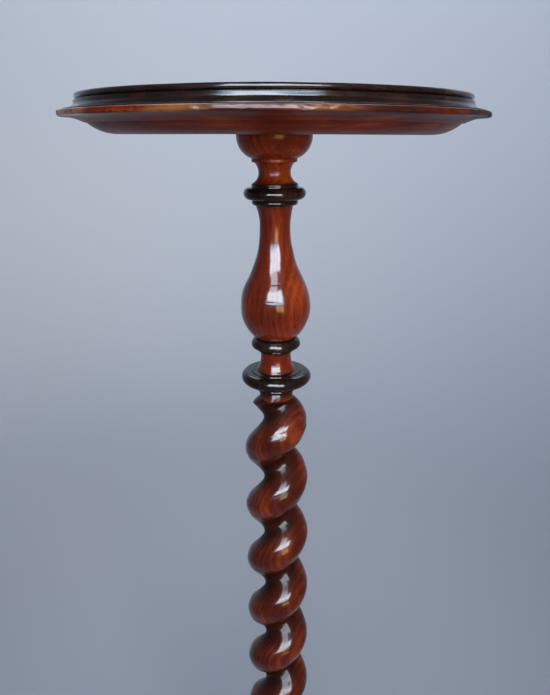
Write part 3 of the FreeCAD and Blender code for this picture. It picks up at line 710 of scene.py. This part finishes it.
@dataclass
class Column:
    """The turned pieces above the twist and below it, stacked on their spigots."""

    bore: float = BORE
    socket: float = SOCKET

    def ring(self, node: str, outer: list[Corner], polish: Polish, **more: object) -> Turning:
        """A bored piece whose outer outline is given from its foot up, in heights above its seat.

        Args:
            node: The CAD node.
            outer: Outer corners from the foot to the top.
            polish: Its finish.
            more: Further fields of the turning.

        Returns:
            The turning.
        """
        low, high = level(node)
        raised = [replace(corner, up=corner.up + low) for corner in outer]
        corners = [Corner(self.bore, low), *raised, Corner(self.bore, high)]
        wear = Turning.wear if polish.slot is Wood.RED else BLACK_WEAR
        return Turning(node, Profile(corners, bored=True), polish, ends=(low, high), wear=wear, **more)

    def cap(self) -> Turning:
        """Bowl under the top with its tenon, waisted neck and spigot."""
        foot, tenon = level("column_cap")
        low, high = level("upper_collar")[1], level("top_board")[0]
        lip = high - 0.0022
        fillet = lip - 0.0157
        neck = fillet - 0.0026
        corners = peg(SPIGOT, low, foot) + bow((0.0174, low), (0.01195, low + 0.0078), (0.0152, neck))
        corners += [Corner(0.017, neck), Corner(0.017, fillet, Bend.LEVEL_NEXT)]
        corners += [Corner(0.0281, lip), Corner(0.0281, high)] + peg(TENON, high, tenon)[::-1]
        pith = (0.02, -0.03, 0.1)
        return Turning("column_cap", Profile(corners), CAP_LIT_POLISH, pith, ends=(low, high), seed=3)

    def upper_collar(self) -> Turning:
        """Ebonised collar of a bead, a torus and a fillet."""
        outer = half_round(0.0176, 0.0, 0.0041) + half_round(0.0236, 0.0041, 0.0089)
        outer += [Corner(0.0176, 0.0130), Corner(0.0176, 0.0156)]
        return self.ring("upper_collar", outer, BLACK_POLISH, seed=5)

    def vase(self) -> Turning:
        """Baluster whose belly is drawn up into a slim throat, with a socket at each end."""
        low, high = level("vase")
        belly = np.array([0.0277, low + 0.0249])
        throat = np.array([0.01166, high - 0.0153])
        turning = belly + (throat - belly) * 0.33
        corners = peg(self.bore, low, low + self.socket)
        corners += bow((0.016, low), belly, turning, throat, (0.0145, high))
        corners += peg(self.bore, high, high - self.socket)[::-1]
        heights = (low + 0.0475, low + 0.0345, low + 0.0375)
        nicks = Dents((274.0, 262.0, 280.0), heights, length=0.004, width=0.0004, depth=0.00011)
        fine = Profile(corners, coarse=0.0006)
        pith = (0.035, -0.01, 0.0)
        return Turning("vase", fine, RED_POLISH, pith, uneven=0.0001, ends=(low, high), dents=(nicks,), seed=7)

    def middle_collar(self) -> Turning:
        """Ebonised collar of a small bead and a torus."""
        outer = half_round(0.0149, 0.0, 0.0028) + bow((0.0164, 0.0028), (0.0197, 0.0058), (0.0153, 0.0116))
        return self.ring("middle_collar", outer, BLACK_POLISH, seed=9)

    def neck_spool(self) -> Turning:
        """Waisted length between two collars."""
        outer = bow((0.0159, 0.0), (0.0123, 0.0117), (0.0128, 0.0163))
        return self.ring("neck_spool", outer, RED_POLISH, pith=(-0.03, 0.02, 0.3), seed=11)

    def shoulder_collar(self) -> Turning:
        """Broad ebonised collar of a bead, a cone, a torus and a raised fillet."""
        outer = half_round(0.016, 0.0, 0.0039) + [Corner(0.016, 0.0039)]
        outer += bow((0.0224, 0.0070), (0.0284, 0.0123), (0.0228, 0.0172))
        outer += [Corner(0.0204, 0.0172), Corner(0.0204, 0.0181)]
        return self.ring("shoulder_collar", outer, BLACK_POLISH, seed=13)

    def foot_collar(self) -> Turning:
        """Ebonised collar under the twist, a bead over a torus."""
        outer = bow((0.0246, 0.0), (0.031, 0.0055), (0.0246, 0.011)) + half_round(0.018, 0.011, 0.004)
        return self.ring("foot_collar", outer, BLACK_POLISH, seed=15)

    def foot_spool(self) -> Turning:
        """Waisted spool under the foot collar."""
        outer = bow((0.017, 0.0), (0.0136, 0.0075), (0.017, 0.015))
        return self.ring("foot_spool", outer, RED_POLISH, pith=(0.01, 0.04, 0.2), seed=17)

    def foot_ring(self) -> Turning:
        """Ebonised half-round ring on the hub."""
        return self.ring("foot_ring", half_round(0.023, 0.0, 0.011), BLACK_POLISH, seed=19)

    def finial(self) -> Turning:
        """Ebonised drop under the hub."""
        low, spigot_top = level("drop_finial")
        high = level("leg_hub")[0]
        disc = high - 0.004
        drop = (0.004, low), (0.0165, low + 0.013), (0.01225, disc - 0.009)
        corners = [Corner(0.0, low)] + bow(*drop, (0.010, disc - 0.0045), (0.01225, disc))
        corners += half_round(0.027, disc, high - disc) + peg(SPIGOT, high, spigot_top)[::-1]
        return Turning("drop_finial", Profile(corners), BLACK_POLISH, ends=(high, high), wear=BLACK_WEAR, seed=21)

    def build(self) -> None:
        """Builds every turned piece from the top down."""
        upper = (self.cap, self.upper_collar, self.vase, self.middle_collar, self.neck_spool, self.shoulder_collar)
        lower = (self.foot_collar, self.foot_spool, self.foot_ring, self.finial)
        for make in upper + lower:
            make().build()


@dataclass
class Twist:
    """The barley-twist shaft: one round bine wound right-handed about the axis, with turned ends.

    Attributes:
        pitch: Rise of one turn.
        start: Angle of the crest at the foot of the bine, in degrees.
        top_radius, low_radius: Radii of the crest at the top and at the foot.
        half_width, widest: Half of the bine's greatest width, at the top, and how far from the axis that width lies.
        hollow, hollow_half: How far the hollow's floor lies behind the axis, and half of its width.
        shoulder: Length of the turned rounding at each end.
        neck_radius, neck: Radius and length of the plain necks.
        run_out: Length over which the hollow runs out into a neck.
        spigot: Radius of the spigots.
        arris: Bevel of the necks' outer edges.
        carved: Height of the relief that the carving has left.
        seat_grime: How far dirt reaches from the two seats.
        rows, columns: Points along the bine and around its section.
    """

    pitch: float = 0.0561
    start: float = 118.5
    top_radius: float = 0.0264
    low_radius: float = 0.0289
    half_width: float = 0.01932
    widest: float = 0.01512
    hollow: float = 0.01087
    hollow_half: float = 0.0054
    shoulder: float = 0.024
    neck_radius: float = 0.0136
    neck: float = 0.0066
    run_out: float = 0.011
    spigot: float = SPIGOT
    arris: float = 0.0003
    carved: float = 0.00014
    seat_grime: float = 0.0015
    rows: int = 620
    columns: int = 120

    def section(self) -> np.ndarray:
        """The bine's section: two arcs that meet at its widest place, and the floor of the hollow.

        Returns:
            Angle and distance from the axis of each point, as two rows.
        """
        corners = [
            Corner(self.top_radius, 0.0, Bend.LEVEL_HERE),
            Corner(self.widest, self.half_width, Bend.LEVEL_NEXT),
            Corner(-self.hollow, self.hollow_half),
            Corner(-self.hollow, -self.hollow_half, Bend.LEVEL_HERE),
            Corner(self.widest, -self.half_width, Bend.LEVEL_NEXT),
        ]
        profile = Profile(corners, bored=True, arris=0.0009, coarse=0.002, turn=0.2).points()
        closed = np.concatenate([profile, profile[:1]])
        place = along(closed)
        even = np.linspace(0.0, place[-1], self.columns, endpoint=False)
        x, y = resampled(even, place, closed).T
        return np.stack([np.arctan2(y, x), np.hypot(x, y)])

    def turned_limit(self, from_end: np.ndarray, radius: float) -> np.ndarray:
        """Greatest radius at a distance from the bine's end.

        It follows a circle that starts at the neck and is upright where it meets the full radius, a shoulder's length
        away.

        Args:
            from_end: Distance from the end of the bine.
            radius: Full radius of the bine there.

        Returns:
            The radius that the lathe leaves.
        """
        step = radius - self.neck_radius
        bend = (step**2 + self.shoulder**2) / (2 * step)
        left = np.clip(self.shoulder - from_end, 0.0, self.shoulder)
        return radius - bend + np.sqrt(bend**2 - left**2)

    def plain_end(self, seat: float, tip: float, up: int) -> np.ndarray:
        """Neck and spigot beyond one end of the bine.

        Args:
            seat: Height of the neck's flat end.
            tip: Height of the spigot's end.
            up: 1 at the top of the shaft and -1 at its foot.

        Returns:
            Radius and height of their outline from the bine outwards, as rows.
        """
        bine_end = seat - up * self.neck
        step = 0.0002
        return np.array(
            [
                (self.neck_radius, bine_end + up * step),
                (self.neck_radius, seat - up * self.arris),
                (self.neck_radius - self.arris, seat),
                (self.spigot, seat),
                (self.spigot, tip),
                (AXIS_HOLE, tip),
            ]
        )

    def build(self) -> None:
        """Winds the section up the axis: its angle grows by a full turn in each pitch, and its size shrinks evenly.

        At both ends the radius is held under the turned shoulder and over the cone that the hollow runs out on, both
        with a soft change. Plain necks and spigots close the ends.
        """
        foot, tip = level("twist_shaft")
        seats = level("foot_collar")[1], level("shoulder_collar")[0]
        low, high = seats[0] + self.neck, seats[1] - self.neck
        height = np.linspace(low, high, self.rows)[:, None]
        share = (height - low) / (high - low)
        crest = self.low_radius + (self.top_radius - self.low_radius) * share
        angle, distance = self.section()
        turn = angle + radians(self.start) + FULL_TURN * (height - low) / self.pitch
        cuts = self.carved * ripple(angle[None, :], height, pitch=0.02, finest=3, seed=31)
        radius = distance * crest / self.top_radius + cuts
        swell = (self.low_radius - self.top_radius) * self.shoulder / (high - low)
        for ahead, full in ((high - height, self.top_radius + swell), (height - low, self.low_radius - swell)):
            limit = np.where(ahead < self.shoulder, self.turned_limit(ahead, full), 1.0)
            cone = self.neck_radius + (self.spigot - self.neck_radius) * ahead / self.run_out
            radius = soft_least(radius, limit, width=0.0016)
            radius = -soft_least(-radius, -cone, width=0.0006)
        # Painted shade with dirt in the hollow between the bines, stronger the further a point lies inside the crest.
        grime = 0.92 * ramp(radius / crest, low=0.88, high=0.54)
        worn = 0.3 * ramp(radius / crest, low=0.93, high=1.0)
        below, above = self.plain_end(seats[0], foot, -1)[::-1], self.plain_end(seats[1], tip, 1)
        pad = ((len(below), len(above)), (0, 0))
        plain = np.ones((1, self.columns))
        radius = np.concatenate([below[:, :1] * plain, radius, above[:, :1] * plain])
        height = np.concatenate([below[:, 1:], height, above[:, 1:]])
        grid = around_axis(radius, np.pad(turn, pad, mode="edge"), height)
        grime = np.maximum(np.pad(grime, pad), seat_dirt(height, seats, self.seat_grime))
        piece = skin("twist_shaft_carved", grid, np.pad(worn, pad), grime)
        settle(piece, "twist_shaft", TWIST_SHADED_POLISH, Grain((0.02, -0.035, 0.0)))


@dataclass
class Top:
    """The round top: a board with a moulded underside and worn flange, and a rim of four quarters.

    Attributes:
        dish, flange: Radii of the dish's floor and of the flange's nose.
        flange_low, flange_top: Heights of the flange's faces over the board's underside.
        cove, ledge: Widths of the cove under the flange and of the ledge inside it.
        ovolo_width, ovolo_height: Size of the round around the underside.
        tenon_depth: Depth of the socket for the cap's tenon.
        rim_foot, rim_band, rim_bead: Radii of the rim's foot, of its flat band and of its bead.
        rim_foot_height, rim_band_low, rim_band_top: Heights of their edges over the underside of the rim.
        rim_groove, rim_round: Height of the groove over the band, and radius of the inner round.
        lean: Slope of the warp that has let the right side of the board sink.
        still, knee: Radius of the part that the cap holds, and distance over which the warp sets in.
        columns, rows: Points of the board and of a quarter of the rim around the axis.
    """

    dish: float = 0.122
    flange: float = 0.150
    flange_low: float = 0.0114
    flange_top: float = 0.0152
    cove: float = 0.0174
    ledge: float = 0.0016
    ovolo_width: float = 0.020
    ovolo_height: float = 0.0076
    tenon_depth: float = 0.0116
    rim_foot: float = 0.146
    rim_foot_height: float = 0.0008
    rim_band: float = 0.1383
    rim_band_low: float = 0.0038
    rim_band_top: float = 0.0062
    rim_groove: float = 0.0006
    rim_bead: float = 0.1376
    rim_round: float = 0.004
    lean: float = 0.02
    still: float = 0.03
    knee: float = 0.05
    columns: int = 680
    rows: int = 170

    def aged(self, grid: np.ndarray) -> np.ndarray:
        """The board's warp: outside the part that the cap holds, it falls by lean (x + sqrt(x^2 + knee^2)) / 2."""
        free = ramp(np.hypot(grid[..., 0], grid[..., 1]), self.still, self.dish)
        right = 0.5 * (grid[..., 0] + np.hypot(grid[..., 0], self.knee))
        grid[..., 2] -= self.lean * right * eased(free)
        return grid

    def outline(self, low: float, high: float) -> np.ndarray:
        """The board's outline: socket, ovolo, ledge, cove, worn flange, seat of the rim and dish.

        Args:
            low: Height of the underside.
            high: Height of the dish's floor.

        Returns:
            An array of (radius, height) rows.
        """
        cove = self.flange - self.cove
        ovolo = cove - self.ledge
        nose = (self.flange_top - self.flange_low) / 2
        corners = peg(TENON + GLUE, low, low + self.tenon_depth)
        corners += [
            Corner(ovolo - self.ovolo_width, low, Bend.PLUMB_HERE),
            Corner(ovolo, low + self.ovolo_height),
            Corner(cove, low + self.ovolo_height, Bend.PLUMB_NEXT),
            Corner(self.flange - nose, low + self.flange_low, Bend.LEVEL_NEXT),
            Corner(self.flange, low + self.flange_low + 0.7 * nose),
            Corner(self.flange - 0.2 * nose, low + self.flange_top - 0.3 * nose),
            Corner(self.flange - nose, low + self.flange_top),
            Corner(self.dish, low + self.flange_top),
            Corner(self.dish, high),
            Corner(0.0, high),
        ]
        return Profile(corners, arris=0.0003, coarse=0.005, turn=0.16).points()

    def board(self) -> None:
        """The board, turned from its outline, with large and small chips along the flange and scars on the ovolo."""
        low, high = level("top_board")
        outline = self.outline(low, high)
        out, hollow = edges(outline, EDGE_REACH)
        angle, radius, height = spun(outline, self.columns)
        cove = self.flange - self.cove
        on_nose = ramp(radius, cove, self.flange)
        nose = low + (self.flange_low + self.flange_top) / 2
        dice = np.random.default_rng(41)
        chips = [
            Dents(tuple(dice.uniform(0.0, 360.0, count)), tuple(nose + dice.normal(0.0, 0.0011, count)), *size)
            for count, size in ((40, (0.0030, 0.0010, 0.00050)), (160, (0.0011, 0.0007, 0.00028)))
        ]
        knocks = sum(chip.depths(angle, radius, height) for chip in chips) * on_nose
        uneven = 0.00018 * ripple(angle, height, pitch=0.01, finest=22, seed=43) * on_nose
        radius = radius + uneven - on_nose * uneven.max() - knocks
        # The flange's worn colour grows toward the front left, and it darkens toward the back right.
        toward_front_left = np.cos(angle - radians(225.0))
        patchy = 0.15 + 0.3 * ripple(angle, height, pitch=0.05, finest=14, seed=45) + 0.4 * toward_front_left
        worn = np.maximum(out[:, None], on_nose**3) * patchy
        darker_to_back_right = on_nose * (0.95 - toward_front_left + 0.25 * ripple(angle, height, pitch=0.04, finest=11, seed=47))
        scars = Dents((207.0, 214.0), (low + 0.004, low + 0.006), length=0.014, width=0.003, depth=0.9)
        ovolo_start = cove - self.ledge - self.ovolo_width
        scar = scars.depths(angle, radius, height) * ramp(radius, ovolo_start, ovolo_start + 0.004)
        chipped = np.minimum(ramp(knocks, low=0.0, high=0.0006), 0.6)
        # Painted shade in the board's hollows, with the darkening toward the back right, the scars and the dirt in the
        # chips.
        grime = np.maximum(hollow[:, None], np.maximum.reduce([darker_to_back_right, scar, chipped]))
        piece = skin("top_board_turned", self.aged(around_axis(radius, angle, height)), worn, grime)
        settle(piece, "top_board", BOARD_POLISH, Grain((0.0, 0.05, 0.02), (0.0, pi / 2, 0.0)))

    def rim_section(self, tall: float) -> np.ndarray:
        """Section of the rim, with heights over its foot: cove, band, groove and bead outside, a round inside.

        Args:
            tall: Height of the rim.

        Returns:
            An array of (radius, height) rows.
        """
        bead_low = self.rim_band_top + self.rim_groove
        bead = tall - bead_low
        corners = [
            Corner(self.dish, 0.0),
            Corner(self.rim_foot, 0.0),
            Corner(self.rim_foot, self.rim_foot_height, Bend.PLUMB_HERE),
            Corner(self.rim_band, self.rim_band_low),
            Corner(self.rim_band, self.rim_band_top),
            Corner(self.rim_bead - bead / 2, self.rim_band_top),
            *half_round(self.rim_bead, bead_low, bead),
            Corner(self.dish + self.rim_round, tall, Bend.PLUMB_HERE),
            Corner(self.dish, tall - self.rim_round),
        ]
        return Profile(corners, bored=True, arris=0.00025, coarse=0.003, turn=0.16).points()

    def rim(self, node: str, start: float) -> None:
        """A quarter of the rim: the section swept about the axis from the start angle through a right angle.

        Its unevenness fades out towards the ends, where the quarters meet flush.

        Args:
            node: The CAD node.
            start: Angle where the quarter starts, in degrees.
        """
        low, high = level(node)
        section = self.rim_section(high - low)
        out, hollow = edges(section, reach=0.002)
        radius, height = section.T[:, None, :]
        thin = 0.0002
        even = np.linspace(0.0, 1.0, self.rows - 2)[1:-1]
        share = np.concatenate([[0.0, thin], even, [1.0 - thin, 1.0]])[:, None]
        angle = radians(start) + share * pi / 2
        flush = ramp(np.minimum(share, 1.0 - share), low=0.0, high=0.06)
        relief = 0.00012 * flush * ripple(angle, height, pitch=0.01, finest=24, seed=int(start))
        radius = radius + relief * ramp(radius, self.dish, self.dish + 0.004)
        worn = out * (0.3 + 0.3 * ripple(angle, height, pitch=0.02, finest=30, seed=int(start) + 3))
        # The section's hollows, the groove and the cove, are darkened with the dirt colour as painted shade.
        piece = skin(node + "_moulded", self.aged(around_axis(radius, angle, height + low)), worn, hollow)
        chord = radians(start + 45.0)
        settle(piece, node, RIM_POLISH, Grain((0.0, 0.02, start / 100.0), (pi / 2, 0.0, -chord)))

    def build(self) -> None:
        """Builds the board and the four quarters of the rim."""
        self.board()
        for node, start in (("rim_front", 225.0), ("rim_right", 315.0), ("rim_back", 45.0), ("rim_left", 135.0)):
            self.rim(node, start)


@dataclass
class Base:
    """The hub and the three curved legs.

    Attributes:
        hub, hub_neck: Radii of the hub and of its top.
        cove, fillet: Heights of the cove under that top and of the step under the cove.
        flat: Radius of the flats that the legs stand against.
        thick: Thickness of a leg.
        shoulder: Height of a leg's end at the hub.
        heel, heel_height: Reach and height of the heel.
        sole_start, sole_end: Reach of the sole's two ends.
        toe, edge: Radii of the toe's round and of a leg's edges.
        gap_grime: How far dirt reaches from the gap beside a leg.
        hub_columns: Points of the hub around the axis.
        rows, columns: Points along a leg and around its section.
    """

    hub: float = 0.032
    hub_neck: float = 0.020
    cove: float = 0.010
    fillet: float = 0.003
    flat: float = 0.0282
    thick: float = 0.026
    shoulder: float = 0.062
    heel: float = 0.146
    heel_height: float = 0.008
    sole_start: float = 0.150
    sole_end: float = 0.172
    toe: float = 0.012
    edge: float = 0.005
    gap_grime: float = 0.0015
    hub_columns: int = 330
    rows: int = 150
    columns: int = 72

    def drum(self) -> None:
        """The hub, turned from its outline; where a leg stands, its radius is held to the flat, flat / cos(angle)."""
        low, high = level("leg_hub")
        cove_low = high - self.cove
        corners = peg(BORE, low, low + SOCKET)
        corners += [
            Corner(self.hub, low),
            Corner(self.hub, cove_low - self.fillet),
            Corner(self.hub - self.fillet, cove_low - self.fillet),
            Corner(self.hub - self.fillet, cove_low, Bend.PLUMB_HERE),
            Corner(self.hub_neck, high),
        ]
        corners += peg(BORE, high, high - SOCKET)[::-1]
        outline = Profile(corners, coarse=0.0014).points()
        out, hollow = edges(outline, EDGE_REACH)
        angle, radius, height = spun(outline, self.hub_columns)
        third = FULL_TURN / 3
        aside = (angle - pi / 2 + third / 2) % third - third / 2
        offset = np.abs(np.tan(aside)) * self.flat
        behind_leg = (offset < self.thick / 2 + GLUE) & (height < low + self.shoulder)
        radius = np.where(behind_leg, np.minimum(radius, self.flat / np.cos(aside)), radius)
        beside = np.exp(-np.abs(offset - self.thick / 2) / self.gap_grime)
        # Painted shade in the hub's hollows, with dirt in the gaps beside the legs.
        grime = np.maximum(hollow[:, None], beside * (height < low + self.shoulder + 0.001))
        piece = skin("leg_hub_turned", around_axis(radius, angle, height), out[:, None], grime)
        settle(piece, "leg_hub", RED_POLISH, Grain((0.03, 0.03, 0.0)))

    def sides(self) -> tuple[np.ndarray, np.ndarray]:
        """Lower and upper line of a leg, from the hub to the toe.

        The lower line is an S of two arcs, the heel and the sole; the upper line is an S of two arcs and the toe's
        round. Both have their points at the same shares of their length, which lie closer near the toe.

        Returns:
            The lines, as arrays of (reach, height) rows.
        """
        low = level("leg_hub")[0]
        high = low + self.shoulder
        toe_top = 2 * self.toe
        lower = [
            Corner(self.flat, low, Bend.PLUMB_HERE),
            Corner((self.flat + self.heel) / 2, (low + self.heel_height) / 2, Bend.PLUMB_NEXT),
            Corner(self.heel, self.heel_height),
            Corner(self.sole_start, 0.0),
            Corner(self.sole_end, 0.0, Bend.LEVEL_NEXT),
            Corner(self.sole_end + self.toe, self.toe),
        ]
        upper = [
            Corner(self.flat, high, Bend.PLUMB_HERE),
            Corner((self.flat + self.sole_end) / 2, (high + toe_top) / 2, Bend.PLUMB_NEXT),
            Corner(self.sole_end, toe_top, Bend.PLUMB_HERE),
            Corner(self.sole_end + self.toe, self.toe),
        ]
        share = np.linspace(0.0, 1.0, self.rows) ** 0.8
        lines = [trace(corners, step=0.0005) for corners in (lower, upper)]
        bottom, top = (resampled(share * along(line)[-1], along(line), line) for line in lines)
        return bottom, top

    def leg(self, node: str, turn: float) -> None:
        """A leg: a rounded rectangle carried from the hub to the toe between the leg's lower and upper line.

        Points at equal shares of both lines are joined, and each joint is the height of one rectangle.

        Args:
            node: The CAD node.
            turn: Direction of the leg, in degrees.
        """
        bottom, top = self.sides()
        tall = np.hypot(*(top - bottom).T)[:, None]
        middle = (bottom + top) / 2
        toe_end = middle[-1, 0]
        close = ramp(middle[:, :1], toe_end - self.edge, toe_end)
        half = self.thick / 2 - self.edge * (1.0 - np.sqrt(1.0 - close**2))
        around = np.linspace(0.0, FULL_TURN, self.columns, endpoint=False)
        across, rise = rounded_box(around, half, np.maximum(tall / 2, 0.0004), self.edge)
        way = (top - bottom) / np.maximum(tall, 1e-6)
        reach = middle[:, :1] + way[:, :1] * rise
        height = middle[:, 1:] + way[:, 1:] * rise
        head = radians(turn)
        x, y = reach * cos(head) - across * sin(head), reach * sin(head) + across * cos(head)
        aside = np.abs(across) / (self.thick / 2)
        worn = aside * np.abs(rise) / np.maximum(tall / 2, 0.004) - 0.55
        grime = 0.8 * np.exp(-(reach - self.flat) / 0.003)
        piece = skin(node + "_shaped", np.stack([x, y, height], axis=-1), worn, grime)
        settle(piece, node, RED_POLISH, Grain((0.0, 0.01, 0.05), (0.0, radians(55.0), -head)))

    def build(self) -> None:
        """Builds the hub and the legs."""
        self.drum()
        for node, turn in (("leg_back", 90.0), ("leg_left", 210.0), ("leg_right", 330.0)):
            self.leg(node, turn)


def rounded_box(around: np.ndarray, half: np.ndarray, tall: np.ndarray, edge: float) -> tuple[np.ndarray, np.ndarray]:
    """Section of a leg: an inner rectangle grown by the edge radius, with points at even angles of its normal.

    Args:
        around: Angle of the normal at each point.
        half: Half width of each section, as a column.
        tall: Half height of each section, as a column.
        edge: Radius of the edges, held to nine tenths of the half height.

    Returns:
        The sections' widths and heights, as rows of one section each.
    """
    grown = np.minimum(edge, 0.9 * tall)
    cosine, sine = np.cos(around), np.sin(around)
    square_x, square_y = (np.sign(wave) * np.abs(wave) ** 0.12 for wave in (cosine, sine))
    return (half - grown) * square_x + grown * cosine, (tall - grown) * square_y + grown * sine


def area_lamp(name: str, size: Place, power: float, colour: Colour) -> bpy.types.Object:
    """A rectangular lamp that the camera doesn't see.

    Args:
        name: Name of the lamp.
        size: Its width and height.
        power: Its power in watts.
        colour: Colour of its light.

    Returns:
        The lamp.
    """
    lamp = bpy.data.lights.new(name, "AREA")
    lamp.shape = "RECTANGLE"
    lamp.size, lamp.size_y = size
    lamp.energy = power
    lamp.color = colour
    made = new_object(name, lamp)
    made.visible_camera = False
    return made


@dataclass(frozen=True)
class Panel:
    """A soft lamp around the stand, seen from the column as a rectangle of panes.

    Attributes:
        name: Name of the lamp.
        left, right: Directions of its side edges, in degrees right of straight back.
        low, high: Elevations of its lower and upper edge, in degrees.
        colour, radiance: Colour of the light, and brightness of a pane seen straight on.
        panes: Number of panes across and up, each turned to the target.
        distance: Distance from the column.
        spread: How wide the light spreads, in degrees.
        mirrored, lights: Whether the polish shows its reflection, and whether it lights the wood itself.
        target: The point that it is turned to.
    """

    name: str
    left: float
    right: float
    low: float
    high: float
    colour: Colour
    radiance: float
    panes: tuple[int, int] = (1, 1)
    distance: float = 2.0
    spread: float = 46.0
    mirrored: bool = True
    lights: bool = True
    target: Colour = (0.0, 0.0, 0.72)

    def pane(self, number: int, aside: float, up: float) -> None:
        """Makes one pane, with a power of pi times its radiance times its area times 1 - h / tan(h).

        That last factor, with h for half of the spread, is what a narrow beam needs of a wide one's power.

        Args:
            number: Number of the pane.
            aside: Direction of its middle, in degrees right of straight back.
            up: Elevation of its middle, in degrees.
        """
        turn, rise = radians(aside), radians(up)
        back = Vector((sin(turn) * cos(rise), -cos(turn) * cos(rise), sin(rise)))
        width = 2 * self.distance * tan(radians(self.right - self.left) / self.panes[0] / 2) * cos(rise)
        height = 2 * self.distance * tan(radians(self.high - self.low) / self.panes[1] / 2)
        half = radians(self.spread) / 2
        power = pi * self.radiance * width * height * (1.0 - half / tan(half))
        made = area_lamp(f"{self.name}_{number}", (width, height), power, self.colour)
        made.data.spread = radians(self.spread)
        made.location = Vector(self.target) + back * self.distance
        made.rotation_euler = back.to_track_quat("Z", "Y").to_euler()
        made.visible_glossy = self.mirrored
        made.visible_diffuse = self.lights

    def build(self) -> None:
        """Makes all panes, from the lower left one on."""
        across, tall = self.panes
        width, height = (self.right - self.left) / across, (self.high - self.low) / tall
        for number in range(across * tall):
            column, row = number % across, number // across
            self.pane(number, self.left + (column + 0.5) * width, self.low + (row + 0.5) * height)


DAYLIGHT = (0.74, 0.87, 1.0)
PANELS = (
    Panel("window_panel", -28.0, 26.0, 10.5, 32.0, DAYLIGHT, 35.0, panes=(3, 2), lights=False),
    Panel("window_top_panel", -26.0, 8.0, 32.0, 45.0, DAYLIGHT, 19.0, panes=(2, 1), lights=False),
    Panel("sky_strip", -31.0, 28.0, 4.5, 10.5, (0.42, 0.70, 1.0), 22.0, panes=(5, 1), lights=False),
    Panel("ceiling_panel", -25.0, 25.0, 58.0, 78.0, (0.95, 0.95, 1.0), 4.8, panes=(2, 1), mirrored=False),
    Panel("right_panel", 13.0, 26.0, 11.5, 15.0, (1.0, 0.85, 0.65), 12.0, lights=False),
    Panel("low_warm_panel", 2.0, 27.0, -8.0, 2.5, (1.0, 0.6, 0.2), 13.0, panes=(2, 1)),
    Panel("key_panel", -7.0, 33.0, 2.0, 42.0, (1.0, 0.96, 0.92), 8.8, panes=(2, 2), mirrored=False),
    Panel("side_fill", 30.0, 75.0, -5.0, 30.0, (1.0, 0.74, 0.48), 3.0, mirrored=False),
    Panel("back_panel", 148.0, 212.0, 32.0, 62.0, (0.80, 0.90, 1.0), 5.5, panes=(3, 1)),
)


@dataclass
class Studio:
    """Floor, backdrop, lamps and camera.

    The camera stands where the outline of the column and of the twist put it: a little under the top, half a metre
    in front, looking down.

    Attributes:
        near, far: Colours of the floor at the stand and of the wall behind it; the darker floor at the stand is
            painted shade and the paler wall is painted light.
        floor, sweep, wall: Radius of the level floor, radius of the sweep up to the wall, and height of the wall.
        columns: Points of the backdrop around the axis.
        focal_pixels, picture_height: Focal length and height of the picture, in pixels.
        sensor: Width of the camera's sensor, in millimetres.
        place: Where the camera stands.
        pitch, roll: How far it looks down and is turned about its line of sight, in degrees.
    """

    near: Colour = (0.40, 0.44, 0.515)
    far: Colour = (0.58, 0.62, 0.69)
    floor: float = 1.3
    sweep: float = 1.9
    wall: float = 3.138
    columns: int = 96
    focal_pixels: float = 631.4
    picture_height: float = 695.0
    sensor: float = 36.0
    place: Colour = (-0.0007, -0.4846, 0.8284)
    pitch: float = 19.01
    roll: float = -0.43

    def backdrop(self) -> None:
        """A round floor that sweeps up into a wall, as a turned outline seen from inside.

        It grows paler away from the stand and towards the back, each by a smooth step: painted shade near the stand
        and painted light at the back.
        """
        corners = [
            Corner(AXIS_HOLE, 0.0),
            Corner(self.floor, 0.0, Bend.PLUMB_HERE),
            Corner(self.floor + self.sweep, self.sweep),
            Corner(self.floor + self.sweep, self.wall),
        ]
        outline = trace(corners, step=0.06)
        angle, radius, height = spun(outline, self.columns)
        index = np.arange(radius.size).reshape(radius.shape)
        faces = cells_between(index[:-1], index[1:])[:, ::-1].tolist() + [index[0].tolist()]
        away = ramp(along(outline), 0.0, self.floor + self.sweep)[:, None]
        behind = ramp(np.sin(angle), low=0.35, high=0.80)
        # Painted light and shade: darker near the stand, paler away from it and towards the back.
        pale = eased(away) * (0.45 + 0.55 * eased(behind))
        mesh = new_mesh("backdrop", around_axis(radius, angle, height), faces, pale=pale)
        graph = Graph("backdrop_paper")
        colour = graph.blend(graph.attribute("pale"), self.near, self.far)
        paper = graph.node("ShaderNodeBsdfDiffuse", {"Color": colour})
        graph.node("ShaderNodeOutputMaterial", {"Surface": paper.outputs[0]})
        mesh.materials.append(graph.material)
        new_object("backdrop", mesh)

    def lamps(self) -> None:
        """The panels, a lamp that shines on the wall, and the pale air."""
        for panel in PANELS:
            panel.build()
        wall = area_lamp("wall_lamp", (2.4, 0.6), 50.0, (0.93, 0.96, 1.0))
        wall.location = (0.0, 1.1, 2.9)
        wall.rotation_euler = (radians(62.0), 0.0, 0.0)
        world = bpy.data.worlds.new("studio_air")
        world.use_nodes = True
        air = world.node_tree.nodes["Background"]
        air.inputs["Color"].default_value = (0.80, 0.88, 1.0, 1.0)
        air.inputs["Strength"].default_value = 0.25
        bpy.context.scene.world = world

    def camera(self) -> None:
        """The camera, with its focal length worked out for the picture's height and turned by pitch and roll."""
        lens = bpy.data.cameras.new("camera")
        lens.sensor_width = self.sensor
        lens.lens = self.focal_pixels / self.picture_height * self.sensor
        lens.clip_start = 0.01
        made = new_object("camera", lens)
        tilt = Matrix.Rotation(radians(90.0 - self.pitch), 4, "X") @ Matrix.Rotation(radians(self.roll), 4, "Z")
        made.matrix_world = Matrix.Translation(self.place) @ tilt
        bpy.context.scene.camera = made

    def build(self) -> None:
        """Builds the whole studio."""
        self.backdrop()
        self.lamps()
        self.camera()
        bpy.context.scene.view_settings.view_transform = "Standard"


def main() -> None:
    """Builds the stand and its studio."""
    logging.basicConfig(level=logging.INFO, format="%(message)s")
    Top().build()
    Column().build()
    Twist().build()
    Base().build()
    Studio().build()


if __name__ == "__main__":
    main()
